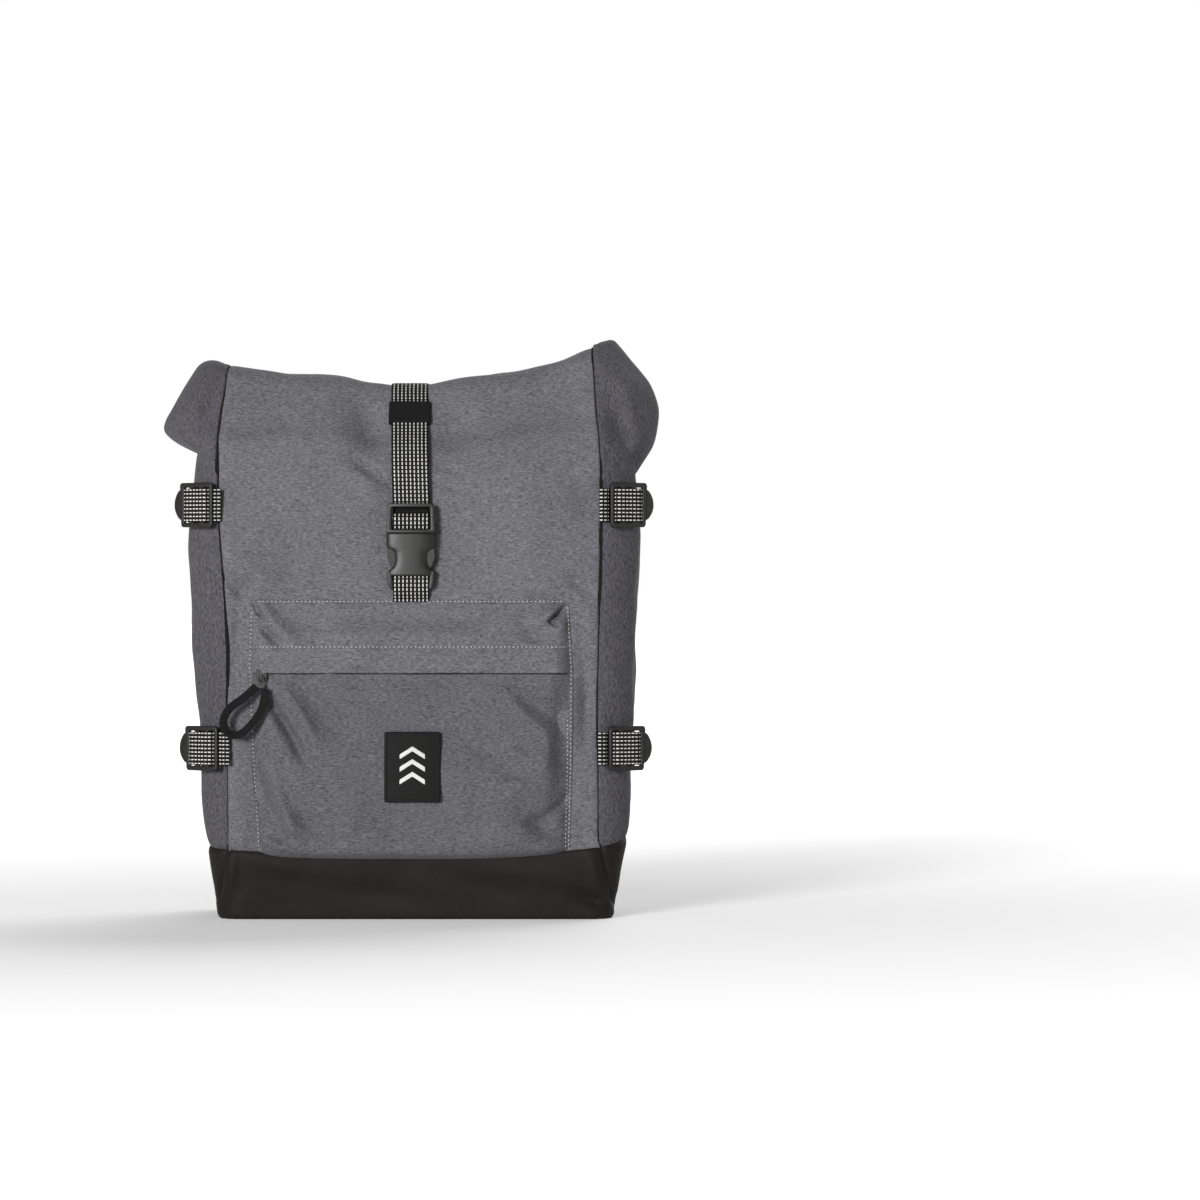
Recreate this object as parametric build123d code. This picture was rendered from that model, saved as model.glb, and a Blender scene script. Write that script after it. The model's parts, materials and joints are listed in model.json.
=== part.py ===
"""Roll-top pannier bag with a zipped front pocket, as separate pieces.

Millimetres. +Z is up, -Y is the front with the pocket and +Y the side that hangs on the rack.
The origin is the centre of the flat underside.
"""
import os
from math import cos, radians, sin

from build123d import *

# ---- driving dimensions --------------------------------------------------------------------
GAP = 0.3  # air between pieces that move past each other
FABRIC = 1.6  # laminated shell fabric with its lining
TUB = 2.0  # wall of the coated base tub
TUB_FLOOR = 3.0
SEAM_X = 141.0  # the front and back panels end here, and the side gussets begin
BASE_TOP = 56.0  # seam between the base tub and the fabric body
BODY_TOP = 384.0  # where the body fabric meets the roll

# height, half width, front y, back y, corner radius of the body's outside
BODY = [
    (0, 146, -66, 76, 18),
    (BASE_TOP, 160, -76, 80, 28),
    (130, 167, -81, 80, 32),
    (240, 172, -83, 80, 35),
    (312, 172, -82, 80, 35),
    (338, 168, -80, 78, 34),
    (361, 166, -70, 60, 30),
    (376, 164, -55, 30, 24),
    (BODY_TOP, 163.5, -45.9, 17.9, 20),
]

# x, centre y, centre z, half depth, half height of the roll, from one ear to the other
ROLL = [
    (-191.5, -10, 372, 9, 4),
    (-183, -11, 377, 13, 15),
    (-172, -12, 385, 19, 27),
    (-160, -14, 389, 24, 34),
    (-120, -14, 387, 28, 31),
    (-55, -14, 384, 30, 22.7),
    (-15, -14, 383, 30, 20.5),
    (20, -14, 383, 30, 20.8),
    (50, -14, 384, 30, 24.5),
    (85, -14, 389, 29, 32),
    (130, -14, 395, 26, 38),
    (152, -14, 397, 24, 41),
    (168, -13, 386, 20, 35),
    (180, -12, 382, 15, 24),
    (187, -11, 384, 9, 8),
]
STIFFENER = (330, 1.4, 20)  # strip that the top is rolled around: length, thickness, height
STIFFENER_Y, STIFFENER_Z = -14.0, 384.0

# closure strap and side-release buckle
WEB = 28.0  # webbing width
WEB_T = 1.6
STRAP_Y = -85.0  # middle of the strap on the front
STRAP_PATH = [
    (81.9, 306), (80.5, 338), (62, 362), (24, 392), (-6, 406.8), (-28, 405.9),
    (-42, 399.8), (-64.5, 368.7), (-74.5, 358), (-82.8, 338), (STRAP_Y, 322), (STRAP_Y, 293),
]
STRAP_BEND = 12.0
BUCKLE_W = 36.8
WAIST_W = 23.0
BUCKLE_FRONT = -93.8
BUCKLE_BACK = -84.8
BUCKLE_TOP, BUCKLE_MOUTH, SHOULDER, FLARE, BUCKLE_BOTTOM = 313.0, 290.0, 280.0, 264.0, 248.5
CAVITY_FRONT, CAVITY_BACK, CAVITY_HALF = -91.8, -86.8, 16.4
WINDOW = (29, 5.6)  # the two openings of the male half, which the strap goes through
WINDOW_HEIGHTS = (307.3, 298.2)
PRONG_T = 4.4
TAB_BOTTOM = 241.0  # the buckle's short webbing is sewn in at this height

# front pocket
POCKET_HALF = 121.0
POCKET_BOTTOM, POCKET_TOP, FLAP_STITCH, FLAP_EDGE = 47.0, 239.0, 203.0, 186.0
POCKET_FRONT = -95.4
ZIP_Y = -93.0  # front of the zip's tape
ZIP_Z = 184.5
ZIP_HALF = 114.0
SLIDER_X = -112.0
TOOTH_STEP = 3.0
PATCH_SIZE, PATCH_RADIUS, PATCH_Z = (41, 50), 3, 113
CHEVRON_HEIGHTS = (101, 112, 123)

# the ribbon loop's middle line, as (x, z) points at a constant y
RIBBON = [
    (-115.4, 176), (-124, 167.5), (-136, 160), (-141.5, 149), (-136.5, 139), (-127, 139.5),
    (-117.5, 149), (-110, 161), (-108.8, 174),
]
RIBBON_Y = -97.9
RIBBON_W, RIBBON_T = 5.7, 0.8

# compression straps with ladder locks
LOCK_HEIGHTS = {"upper": 312.0, "lower": 129.0}
LOCK_ANGLE = 30.0  # how far a lock faces round from the front
LOCK_H = 34.0
SIDE_WEB = 25.0

# rack hardware
BACK_Y = 80.0
RAIL_Z, RAIL_HALF, RAIL_LENGTH = 285.0, 17.0, 250.0
LOWER_Z, LOWER_HALF, LOWER_LENGTH = 85.0, 13.0, 120.0
RAIL_BASE = 3.3
LIP_IN, LIP_OUT = 86.0, 88.2
HOOK_X = 85.0
HOOK_W = 26.0
TUBE_Y, TUBE_Z = 106.0, 302.0
HOOK_R = 8.2  # inside of a hook, for a 16 mm rack tube
INSERT_R = 5.6  # inside of the reducing insert, for an 11 mm tube
HOOK_WALL = 7.3
LATCH_Y, LATCH_Z = 99.0, 272.0
PIN_R = 2.0
SCREW_R = 2.0
RAIL_SCREWS_X = (-110.0, -35.0, 35.0, 110.0)
LOWER_SCREWS_X = (-50.0, 50.0)
STAY_R = 6.1  # inside of the lower hook, for a 12 mm stay
STAY_X, STAY_Y = 34.0, 104.0
HANDLE_Z, HANDLE_Y = 312.0, 85.0


# ---- helpers -------------------------------------------------------------------------------
def save(node, *shapes):
    """Write one node: its separate solids go into the file side by side."""
    solids = [solid for shape in shapes for solid in shape.solids()]
    export_step(Compound(children=solids), f"parts/{node}.step")


def box(x, y, z):
    """A box from three (low, high) pairs."""
    size = [pair[1] - pair[0] for pair in (x, y, z)]
    middle = [(pair[0] + pair[1]) / 2 for pair in (x, y, z)]
    return Pos(*middle) * Box(*size)


def rod(x, y, z, radius, axis, length):
    """A cylinder centred on a point, along an axis named by a letter."""
    turn = {"x": Rot(0, 90, 0), "y": Rot(90, 0, 0), "z": Rot(0, 0, 0)}[axis]
    return Pos(x, y, z) * turn * Cylinder(radius, length)


def profile(points, x):
    """A polygon of (y, z) points, extruded over an (x low, x high) pair."""
    face = make_face(Polyline(*points, close=True))
    return extrude(Plane.YZ.offset(x[0]) * face, amount=x[1] - x[0])


def front_plate(sketch, near, far):
    """A sketch of (x, z), extruded from y = near towards the front until y = far."""
    return extrude(Plane.XZ.offset(-near) * sketch, amount=near - far)


def mirror_x(shape):
    return mirror(shape, about=Plane.YZ)


def body_size(z):
    """Half width, front, back and corner radius of the body's outside at a height."""
    for low, high in zip(BODY, BODY[1:]):
        if low[0] <= z <= high[0]:
            part = (z - low[0]) / (high[0] - low[0])
            return [a + part * (b - a) for a, b in zip(low[1:], high[1:])]
    raise ValueError(z)


def body_section(z, inset):
    half, front, back, corner = body_size(z)
    shape = RectangleRounded(2 * (half - inset), back - front - 2 * inset, corner - inset)
    return Plane.XY.offset(z) * Pos(0, (front + back) / 2) * shape


def body_loft(low, high, inset):
    heights = [low] + [row[0] for row in BODY if low < row[0] < high] + [high]
    return loft([body_section(z, inset) for z in heights], ruled=True)


def roll_loft(grow):
    rows = [(x, y, z, a + grow, b + grow) for x, y, z, a, b in ROLL]
    sections = [Plane.YZ.offset(x) * Pos(y, z) * Ellipse(a, b) for x, y, z, a, b in rows]
    return loft(sections, ruled=True)


def body_ring():
    """The fabric wall of the body, open at both ends, with the roll's seat cut out."""
    low = BASE_TOP + 0.1
    return body_loft(low, BODY_TOP, 0) - body_loft(low, BODY_TOP, FABRIC) - roll_loft(GAP)


# ---- body ----------------------------------------------------------------------------------
def panels():
    ring = body_ring()
    far = 300
    middle = (-SEAM_X, SEAM_X)
    top = (0, 500)
    back = ring & box(middle, (0, far), top)
    for x in RAIL_SCREWS_X:
        back -= rod(x, BACK_Y, RAIL_Z, SCREW_R + 0.2, "y", 10)
    for x in LOWER_SCREWS_X:
        back -= rod(x, BACK_Y, LOWER_Z, SCREW_R + 0.2, "y", 10)
    save("front_panel", ring & box(middle, (-far, 0), top))
    save("back_panel", back)
    save("side_panel_right", ring & box((SEAM_X, far), (-far, far), top))
    save("side_panel_left", ring & box((-far, -SEAM_X), (-far, far), top))


def base():
    shell = body_loft(0, BASE_TOP, 0) - body_loft(TUB_FLOOR, BASE_TOP, TUB)
    save("base_shell", shell)
    save("base_board", Pos(0, 4, TUB_FLOOR) * extrude(RectangleRounded(276, 126, 14), 2.5))


def back_board():
    """Stiff sheet behind the back panel, which the rails are screwed to."""
    board = box((-130, 130), (75.4, 78.0), (62, 308))
    for x in RAIL_SCREWS_X:
        board -= rod(x, 76, RAIL_Z, SCREW_R + 0.2, "y", 10)
    for x in LOWER_SCREWS_X:
        board -= rod(x, 76, LOWER_Z, SCREW_R + 0.2, "y", 10)
    save("back_board", board)


def roll():
    length, thick, height = STIFFENER
    seat = Pos(0, STIFFENER_Y, STIFFENER_Z)
    save("roll_top", roll_loft(0) - seat * Box(420, thick + 2 * GAP, height + 2 * GAP))
    save("roll_stiffener", seat * Box(length, thick, height))


# ---- closure -------------------------------------------------------------------------------
def closure_strap():
    path = FilletPolyline(*STRAP_PATH, radius=STRAP_BEND)
    save("closure_strap", extrude(Plane.YZ * trace(path, WEB_T), amount=WEB / 2, both=True))


def strap_keeper():
    """Elastic band that grips the strap where it leans back, open towards the fabric."""
    low, high = Vector(0, *STRAP_PATH[7]), Vector(0, *STRAP_PATH[6])
    along = (high - low).normalized()
    out = along.cross(Vector(1, 0, 0)) * -1
    seat = Plane(origin=(low + high) * 0.5, x_dir=(1, 0, 0), z_dir=out)
    outer = Pos(0, 0, 1.2) * Box(32, 18, 2.4)
    inner = Pos(0, 0, 0) * Box(WEB + 1.2, 20, WEB_T + 2 * GAP)
    save("strap_keeper", seat * (outer - inner))


def buckle_female():
    half, waist = BUCKLE_W / 2, WAIST_W / 2
    outline = [
        (half, BUCKLE_MOUTH), (half, SHOULDER), (waist, SHOULDER), (waist, FLARE + 2),
        (half, FLARE - 4), (half - 1.5, BUCKLE_BOTTOM),
    ]
    points = outline + [(-x, z) for x, z in reversed(outline)]
    body = front_plate(make_face(Polyline(*points, close=True)), BUCKLE_BACK, BUCKLE_FRONT)
    cavity = box((-CAVITY_HALF, CAVITY_HALF), (CAVITY_FRONT, CAVITY_BACK), (261, 300))
    web_slot = box((-14.5, 14.5), (-100, -80), (252, 256.5))
    save("buckle_female", body - cavity - web_slot)


def buckle_male():
    low = BUCKLE_MOUTH + 0.5
    frame = Pos(0, (BUCKLE_TOP + low) / 2) * RectangleRounded(BUCKLE_W, BUCKLE_TOP - low, 3)
    windows = [Pos(0, z) * RectangleRounded(*WINDOW, 1) for z in WINDOW_HEIGHTS]
    bridge = front_plate(frame - windows, BUCKLE_BACK - 1.4, BUCKLE_FRONT + 1.2)
    middle = (CAVITY_FRONT + CAVITY_BACK) / 2
    tongue = box((-4, 4), (middle - PRONG_T / 2, middle + PRONG_T / 2), (263, 291))
    save("buckle_male", bridge + tongue)


def buckle_prongs():
    outline = [
        (9.2, 290.2), (13.0, 290.2), (14.0, 281.5), (15.8, 279.3), (17.5, 278.9), (17.9, 273),
        (16, 266.5), (12.8, 262.8), (11.2, 267), (10.4, 279),
    ]
    face = make_face(Polyline(*outline, close=True))
    middle = (CAVITY_FRONT + CAVITY_BACK) / 2
    right = front_plate(face, middle + PRONG_T / 2, middle - PRONG_T / 2)
    save("buckle_prong_right", right)
    save("buckle_prong_left", mirror_x(right))


def buckle_tab():
    """Short webbing from the buckle's lower bar to the pocket's top seam."""
    save("buckle_tab_webbing", box((-WEB / 2, WEB / 2), (-86.6, STRAP_Y), (TAB_BOTTOM, 248.1)))


# ---- front pocket --------------------------------------------------------------------------
def pocket_face():
    """A tray of fabric, open towards the panel behind it."""
    plan = Pos(0, (POCKET_BOTTOM + ZIP_Z - 5) / 2)
    height = ZIP_Z - 5 - POCKET_BOTTOM
    outer = front_plate(plan * RectangleRounded(2 * POCKET_HALF, height, 10), -60, POCKET_FRONT)
    inner = front_plate(
        plan * RectangleRounded(2 * (POCKET_HALF - FABRIC), height - 2 * FABRIC, 8.4),
        -60,
        POCKET_FRONT + FABRIC,
    )
    solid = outer - inner - body_loft(0, 312, -0.2)
    save("pocket_face", solid)


def pocket_top():
    """The strip above the zip, sloping from the panel out to the flap's stitch."""
    near, far = ZIP_Y - 0.4, ZIP_Y - 2.0
    points = [(-83.4, POCKET_TOP), (-85.0, POCKET_TOP), (far, 204), (far, 196), (near, 196), (near, 203.5)]
    save("pocket_top", profile(points, (-POCKET_HALF, POCKET_HALF)))


def zip_flap():
    save("zip_flap", box((-POCKET_HALF, POCKET_HALF), (ZIP_Y - 3.6, ZIP_Y - 2.5), (FLAP_EDGE, FLAP_STITCH)))


def zip_parts():
    tape = box((-POCKET_HALF + 1, POCKET_HALF - 1), (ZIP_Y, ZIP_Y + 1), (ZIP_Z - 4.4, 202))
    strip = box((-ZIP_HALF, ZIP_HALF + 2), (ZIP_Y - 0.1, ZIP_Y), (ZIP_Z - 2, ZIP_Z + 2))
    teeth = [
        box((x, x + 1.6), (ZIP_Y - 1, ZIP_Y - 0.1), (ZIP_Z - 1.6, ZIP_Z + 1.6))
        for x in [-ZIP_HALF + TOOTH_STEP * n for n in range(77)]
    ]
    save("zip_tape", tape)
    save("zip_teeth", strip + teeth)
    slider = box((SLIDER_X - 4, SLIDER_X + 4), (ZIP_Y - 2.1, ZIP_Y - 1.3), (ZIP_Z - 4.5, ZIP_Z + 4))
    post = box((SLIDER_X - 1, SLIDER_X + 1), (ZIP_Y - 4.6, ZIP_Y - 2.1), (ZIP_Z - 3.5, ZIP_Z - 0.5))
    slot = rod(SLIDER_X, ZIP_Y - 3.5, ZIP_Z - 2, 0.75, "x", 6)
    save("zip_slider", slider + post - slot)


def zip_pull():
    flat = (ZIP_Y - 4.1, ZIP_Y - 2.9)
    pin = rod(SLIDER_X, ZIP_Y - 3.5, ZIP_Z - 2, 0.6, "x", 5)
    arms = [box((SLIDER_X + s - 0.5, SLIDER_X + s + 0.5), flat, (ZIP_Z - 8, ZIP_Z - 1.4)) for s in (-2, 2)]
    foot = box((SLIDER_X - 2.5, SLIDER_X + 2.5), flat, (ZIP_Z - 10, ZIP_Z - 7))
    save("zip_pull", pin + arms[0] + arms[1] + foot)


def zip_ribbon():
    radii = []
    for before, at, after in zip(RIBBON, RIBBON[1:], RIBBON[2:]):
        run_in, run_out = Vector(*at) - Vector(*before), Vector(*after) - Vector(*at)
        half_turn = radians(run_in.get_angle(run_out)) / 2
        radii.append(0.45 * min(run_in.length, run_out.length) * cos(half_turn) / sin(half_turn))
    print("ribbon radii", [round(r, 1) for r in radii])
    path = FilletPolyline(*RIBBON, radius=radii)
    flat = Plane.XZ.offset(-RIBBON_Y) * trace(path, RIBBON_W)
    print("ribbon length", round(path.length, 1))
    save("zip_ribbon", extrude(flat, amount=RIBBON_T / 2, both=True))


def badge_patch():
    back, face, mark = POCKET_FRONT - 0.1, POCKET_FRONT - 1.4, POCKET_FRONT - 2.0
    patch = front_plate(Pos(0, PATCH_Z) * RectangleRounded(*PATCH_SIZE, PATCH_RADIUS), back, face)
    for z in CHEVRON_HEIGHTS:
        points = [(-12, z), (0, z + 7), (12, z), (12, z - 4), (0, z + 3), (-12, z - 4)]
        patch += front_plate(make_face(Polyline(*points, close=True)), face, mark)
    save("badge_patch", patch)


# ---- compression straps --------------------------------------------------------------------
def lock_seat(z):
    """Plane of the right-hand lock: x along it away from the seam, y up, z out of the bag."""
    turn = radians(LOCK_ANGLE)
    _, front, _, _ = body_size(z)
    origin = (SEAM_X + 1, front - 3.5, z)
    return Plane(origin=origin, x_dir=(cos(turn), sin(turn), 0), z_dir=(sin(turn), -cos(turn), 0))


def ladder_lock(z):
    frame = Pos(21, 0) * RectangleRounded(26, LOCK_H, 4)
    tab = Pos(33, 0) * Ellipse(11, 13)
    windows = [Pos(u, 0) * RectangleRounded(w, SIDE_WEB + 1, 1) for u, w in ((13.5, 5), (21.3, 4.4), (29, 5))]
    return lock_seat(z) * Pos(0, 0, 1.8) * extrude(frame + tab - windows, 3.6)


def side_strap(z):
    """Webbing from under the lock, round the side, to the back seam."""
    low, high = z - SIDE_WEB / 2, z + SIDE_WEB / 2
    sizes = [body_size(height) for height in (low, z, high)]
    half = max(size[0] for size in sizes)
    front = min(size[1] for size in sizes)
    corner = sizes[1][3]
    band = []
    for grow in (0.5 + WEB_T, 0.5):
        shape = RectangleRounded(2 * (half + grow), BACK_Y - front + 2 * grow, corner + grow)
        band.append(Plane.XY.offset(low) * Pos(0, (front + BACK_Y) / 2) * shape)
    ring = extrude(band[0], SIDE_WEB) - extrude(band[1], SIDE_WEB)
    return ring & box((SEAM_X + 1, 300), (front + 9, 300), (0, 500))


def anchor_web(z):
    """Stub of webbing from the front seam to the lock's first bar."""
    return lock_seat(z) * (Pos(3.6, 0, 3.4) * Box(7.4, SIDE_WEB, WEB_T))


def compression():
    for level, z in LOCK_HEIGHTS.items():
        pieces = {"lock": ladder_lock(z), "side_strap": side_strap(z), "anchor_web": anchor_web(z)}
        for name, shape in pieces.items():
            save(f"{level}_{name}_right", shape)
            save(f"{level}_{name}_left", mirror_x(shape))


# ---- rack hardware -------------------------------------------------------------------------
def rail(z, half, length, screws):
    """A channel with two lips; its slot opens away from the bag."""
    slot, inner = half - 10, half - 5
    near = BACK_Y + 0.1
    solid = box((-length / 2, length / 2), (near, LIP_OUT), (z - half, z + half))
    solid -= box((-length, length), (near + RAIL_BASE, LIP_IN), (z - inner, z + inner))
    solid -= box((-length, length), (near, 100), (z - slot, z + slot)) & box(
        (-length, length), (LIP_IN - 1, 100), (0, 500)
    )
    for x in screws:
        solid -= rod(x, near, z, SCREW_R + 0.2, "y", 10)
        solid -= Pos(x, near + RAIL_BASE - 1.1, z) * Rot(90, 0, 0) * Cone(4.0, 2.0, 2.3)
    return solid


def screw(x, z):
    head = Pos(x, BACK_Y + 2.2, z) * Rot(90, 0, 0) * Cone(3.5, SCREW_R, 1.8)
    shaft = rod(x, 76.5, z, SCREW_R, "y", 11)
    return head + shaft


def nut(x, z):
    hexagon = Pos(x, 73.4, z) * Rot(90, 0, 0) * extrude(RegularPolygon(4.2, 6), 1.6, both=True)
    return hexagon - rod(x, 73.4, z, SCREW_R + 0.05, "y", 10)


def foot(x, z, half, width):
    """T-shaped slider that runs in a rail, with its neck out of the slot."""
    inner, slot = half - 5 - GAP, half - 10 - GAP
    plate = box((x - width / 2, x + width / 2), (83.7, LIP_IN - GAP), (z - inner, z + inner))
    neck = box((x - width / 2, x + width / 2), (LIP_IN - GAP, LIP_OUT + GAP), (z - slot, z + slot))
    return plate + neck


def hook(x):
    """Inverted J over the rack tube, with a pocket in its plate for the latch."""
    wide = (x - HOOK_W / 2, x + HOOK_W / 2)
    near, inside = LIP_OUT + GAP, TUBE_Y - HOOK_R
    outer_r = HOOK_R + HOOK_WALL + 2
    solid = box(wide, (near, inside), (262, TUBE_Z))
    solid += rod(x, TUBE_Y, TUBE_Z, outer_r, "x", HOOK_W) & box(wide, (near, 200), (TUBE_Z, 400))
    tail = box(wide, (TUBE_Y + HOOK_R, TUBE_Y + outer_r), (287, TUBE_Z))
    solid += fillet(tail.edges().filter_by(Axis.X).group_by(Axis.Z)[0], 3)
    solid -= rod(x, TUBE_Y, TUBE_Z, HOOK_R, "x", 50)
    solid -= box((x - 9, x + 9), (91, 200), (250, 296.5)) & box(wide, (0, inside + 0.1), (0, 400))
    ears = box(wide, (inside - 1, 104), (266, 279)) - box((x - 9, x + 9), (0, 200), (0, 400))
    solid += ears
    solid += foot(x, RAIL_Z, RAIL_HALF, HOOK_W)
    return solid - rod(x, LATCH_Y, LATCH_Z, PIN_R, "x", 50)


def hook_insert(x):
    """Reducing liner: the upper half of a tube with two short legs."""
    wide = (x - 12, x + 12)
    outer = HOOK_R - 0.1
    solid = rod(x, TUBE_Y, TUBE_Z, outer, "x", 24)
    solid += box(wide, (TUBE_Y - outer, TUBE_Y + outer), (297, TUBE_Z))
    solid &= box(wide, (0, 200), (297, 400))
    solid -= rod(x, TUBE_Y, TUBE_Z, INSERT_R, "x", 50)
    return solid - box((x - 50, x + 50), (TUBE_Y - INSERT_R, TUBE_Y + INSERT_R), (200, TUBE_Z))


def latch(x):
    """Lever whose nose closes the hook's mouth and whose tail is the finger tab."""
    blade = [
        (96.6, 272), (101.2, 288), (101.6, 292), (110, 292), (110.5, 288.6), (106, 286), (102.4, 272),
        (106, 255), (101, 253), (97.6, 266),
    ]
    solid = profile(blade, (x - 8.4, x + 8.4)) + rod(x, LATCH_Y, LATCH_Z, 4.6, "x", 16.8)
    solid -= rod(x, LATCH_Y, LATCH_Z, PIN_R + 0.05, "x", 50)
    return solid - rod(x + 5.5, LATCH_Y, LATCH_Z, 3.6, "x", 5)


def latch_spring(x):
    """Close-wound turns round the pin, in the latch's recess."""
    rings = [Pos(x + 3.7 + n * 1.2, LATCH_Y, LATCH_Z) * Rot(0, 90, 0) * Torus(2.85, 0.5) for n in range(4)]
    return rings


def hooks():
    for side, x in (("left", -HOOK_X), ("right", HOOK_X)):
        save(f"hook_{side}", hook(x))
        save(f"hook_insert_{side}", hook_insert(x))
        save(f"latch_{side}", latch(x))
        save(f"latch_pin_{side}", rod(x, LATCH_Y, LATCH_Z, PIN_R, "x", HOOK_W))
        save(f"latch_spring_{side}", *latch_spring(x))


def rails():
    save("rail", rail(RAIL_Z, RAIL_HALF, RAIL_LENGTH, RAIL_SCREWS_X))
    save("rail_screws", *[screw(x, RAIL_Z) for x in RAIL_SCREWS_X])
    save("rail_nuts", *[nut(x, RAIL_Z) for x in RAIL_SCREWS_X])
    cap = box((125.1, 128.1), (BACK_Y + 0.1, LIP_OUT), (RAIL_Z - RAIL_HALF, RAIL_Z + RAIL_HALF))
    save("rail_end_caps", cap, mirror_x(cap))
    save("lower_rail", rail(LOWER_Z, LOWER_HALF, LOWER_LENGTH, LOWER_SCREWS_X))
    save("lower_rail_screws", *[screw(x, LOWER_Z) for x in LOWER_SCREWS_X])
    save("lower_rail_nuts", *[nut(x, LOWER_Z) for x in LOWER_SCREWS_X])


def lower_hook():
    """Swivelling arm with a C that catches the rack's upright stay."""
    hole = rod(0, 90, LOWER_Z, 3.05, "y", 40)
    pad = box((-11, 11), (LIP_OUT + GAP, 92), (LOWER_Z - 11, LOWER_Z + 11))
    save("lower_slider", foot(0, LOWER_Z, LOWER_HALF, 22) + pad - rod(0, 92, LOWER_Z, 2.5, "y", 14))
    arm = rod(0, 94.8, LOWER_Z, 9, "y", 5) + box((0, STAY_X), (92.3, 97.3), (LOWER_Z - 7, LOWER_Z + 7))
    ring = rod(STAY_X, STAY_Y, LOWER_Z, STAY_R + 3.6, "z", 14)
    mouth = Plane.XY.offset(LOWER_Z - 10) * make_face(
        Polyline((STAY_X, STAY_Y), (STAY_X + 20, STAY_Y - 14), (STAY_X + 20, STAY_Y + 14), close=True)
    )
    solid = arm + ring - extrude(mouth, 20) - rod(STAY_X, STAY_Y, LOWER_Z, STAY_R, "z", 40) - hole
    save("lower_hook", solid)
    pivot = rod(0, 91.5, LOWER_Z, 2.45, "y", 13) + rod(0, 98.7, LOWER_Z, 6, "y", 2.2)
    save("lower_pivot", pivot)


def carry_handle():
    """Moulded handle that swings on two riveted brackets above the rail."""
    outer = Pos(0, HANDLE_Z + 15) * RectangleRounded(81, 40, 12)
    inner = Pos(0, HANDLE_Z + 9) * RectangleRounded(66, 36, 8)
    arch = front_plate(outer - inner - Pos(0, HANDLE_Z - 10) * Rectangle(100, 20), 86.6, 83.4)
    pins, lugs, brackets = [], [], []
    for side in (-1, 1):
        x = side * 36.8
        lugs.append(rod(x, HANDLE_Y, HANDLE_Z, 3.8, "x", 6.6))
        pins.append(rod(x, HANDLE_Y, HANDLE_Z, PIN_R, "x", 13))
        ears = box((x - 6.5, x + 6.5), (80.2, 88), (HANDLE_Z - 5, HANDLE_Z + 5))
        ears -= box((x - 3.9, x + 3.9), (81.0, 100), (0, 400))
        brackets.append(ears)
    handle = arch + lugs[0] + lugs[1]
    save("carry_handle", handle - rod(0, HANDLE_Y, HANDLE_Z, PIN_R + 0.05, "x", 200))
    save("handle_brackets", *[ears + pin for ears, pin in zip(brackets, pins)])


def main():
    os.makedirs("parts", exist_ok=True)
    panels()
    base()
    back_board()
    roll()
    closure_strap()
    strap_keeper()
    buckle_female()
    buckle_male()
    buckle_prongs()
    buckle_tab()
    pocket_face()
    pocket_top()
    zip_flap()
    zip_parts()
    zip_pull()
    zip_ribbon()
    badge_patch()
    compression()
    rails()
    hooks()
    lower_hook()
    carry_handle()


main()
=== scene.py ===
# %% [markdown]
# # A roll-top pannier bag
# The packed frame holds the hardware of this bag: buckles, hooks, rails and plain solids where the
# cloth goes. Everything soft is made here, in metres, around that frame. We start by loading it.

# %% Load the frame
import json
import math

import bmesh
import bpy
import numpy as np
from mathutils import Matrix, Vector, noise

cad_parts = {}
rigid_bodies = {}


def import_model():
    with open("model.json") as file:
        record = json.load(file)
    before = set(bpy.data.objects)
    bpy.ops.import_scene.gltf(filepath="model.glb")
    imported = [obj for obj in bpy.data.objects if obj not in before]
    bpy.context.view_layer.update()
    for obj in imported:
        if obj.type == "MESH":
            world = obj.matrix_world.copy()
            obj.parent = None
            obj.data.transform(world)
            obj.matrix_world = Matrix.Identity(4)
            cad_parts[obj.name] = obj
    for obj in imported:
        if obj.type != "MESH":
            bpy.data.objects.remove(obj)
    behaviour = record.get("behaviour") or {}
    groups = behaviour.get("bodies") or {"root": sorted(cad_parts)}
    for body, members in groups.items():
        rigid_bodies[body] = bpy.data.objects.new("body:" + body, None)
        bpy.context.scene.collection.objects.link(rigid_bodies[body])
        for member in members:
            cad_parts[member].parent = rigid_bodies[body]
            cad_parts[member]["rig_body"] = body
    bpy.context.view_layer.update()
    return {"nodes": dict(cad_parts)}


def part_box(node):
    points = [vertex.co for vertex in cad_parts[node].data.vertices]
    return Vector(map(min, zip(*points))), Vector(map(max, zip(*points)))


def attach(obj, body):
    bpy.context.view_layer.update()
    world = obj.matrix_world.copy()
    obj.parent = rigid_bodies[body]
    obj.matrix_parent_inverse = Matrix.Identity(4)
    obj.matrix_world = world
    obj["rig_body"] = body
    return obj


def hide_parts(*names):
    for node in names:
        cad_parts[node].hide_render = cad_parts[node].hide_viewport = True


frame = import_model()
MM = 0.001

# %% [markdown]
# ## Camera
# The bag hangs left of the middle of the picture and is seen square on from far away, so a long
# lens is used, and the camera stands to the right of the bag at half its height.

# %% Camera
CAMERA_AT = (0.1418, -3.842, 0.2406)
camera = bpy.data.objects.new("camera", bpy.data.cameras.new("camera"))
bpy.context.scene.collection.objects.link(camera)
camera.location = CAMERA_AT
camera.rotation_euler = (math.radians(90), 0, 0)
camera.data.lens = 150
camera.data.sensor_width = 36
camera.data.clip_end = 50
bpy.context.scene.camera = camera
print("camera at", CAMERA_AT)

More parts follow.
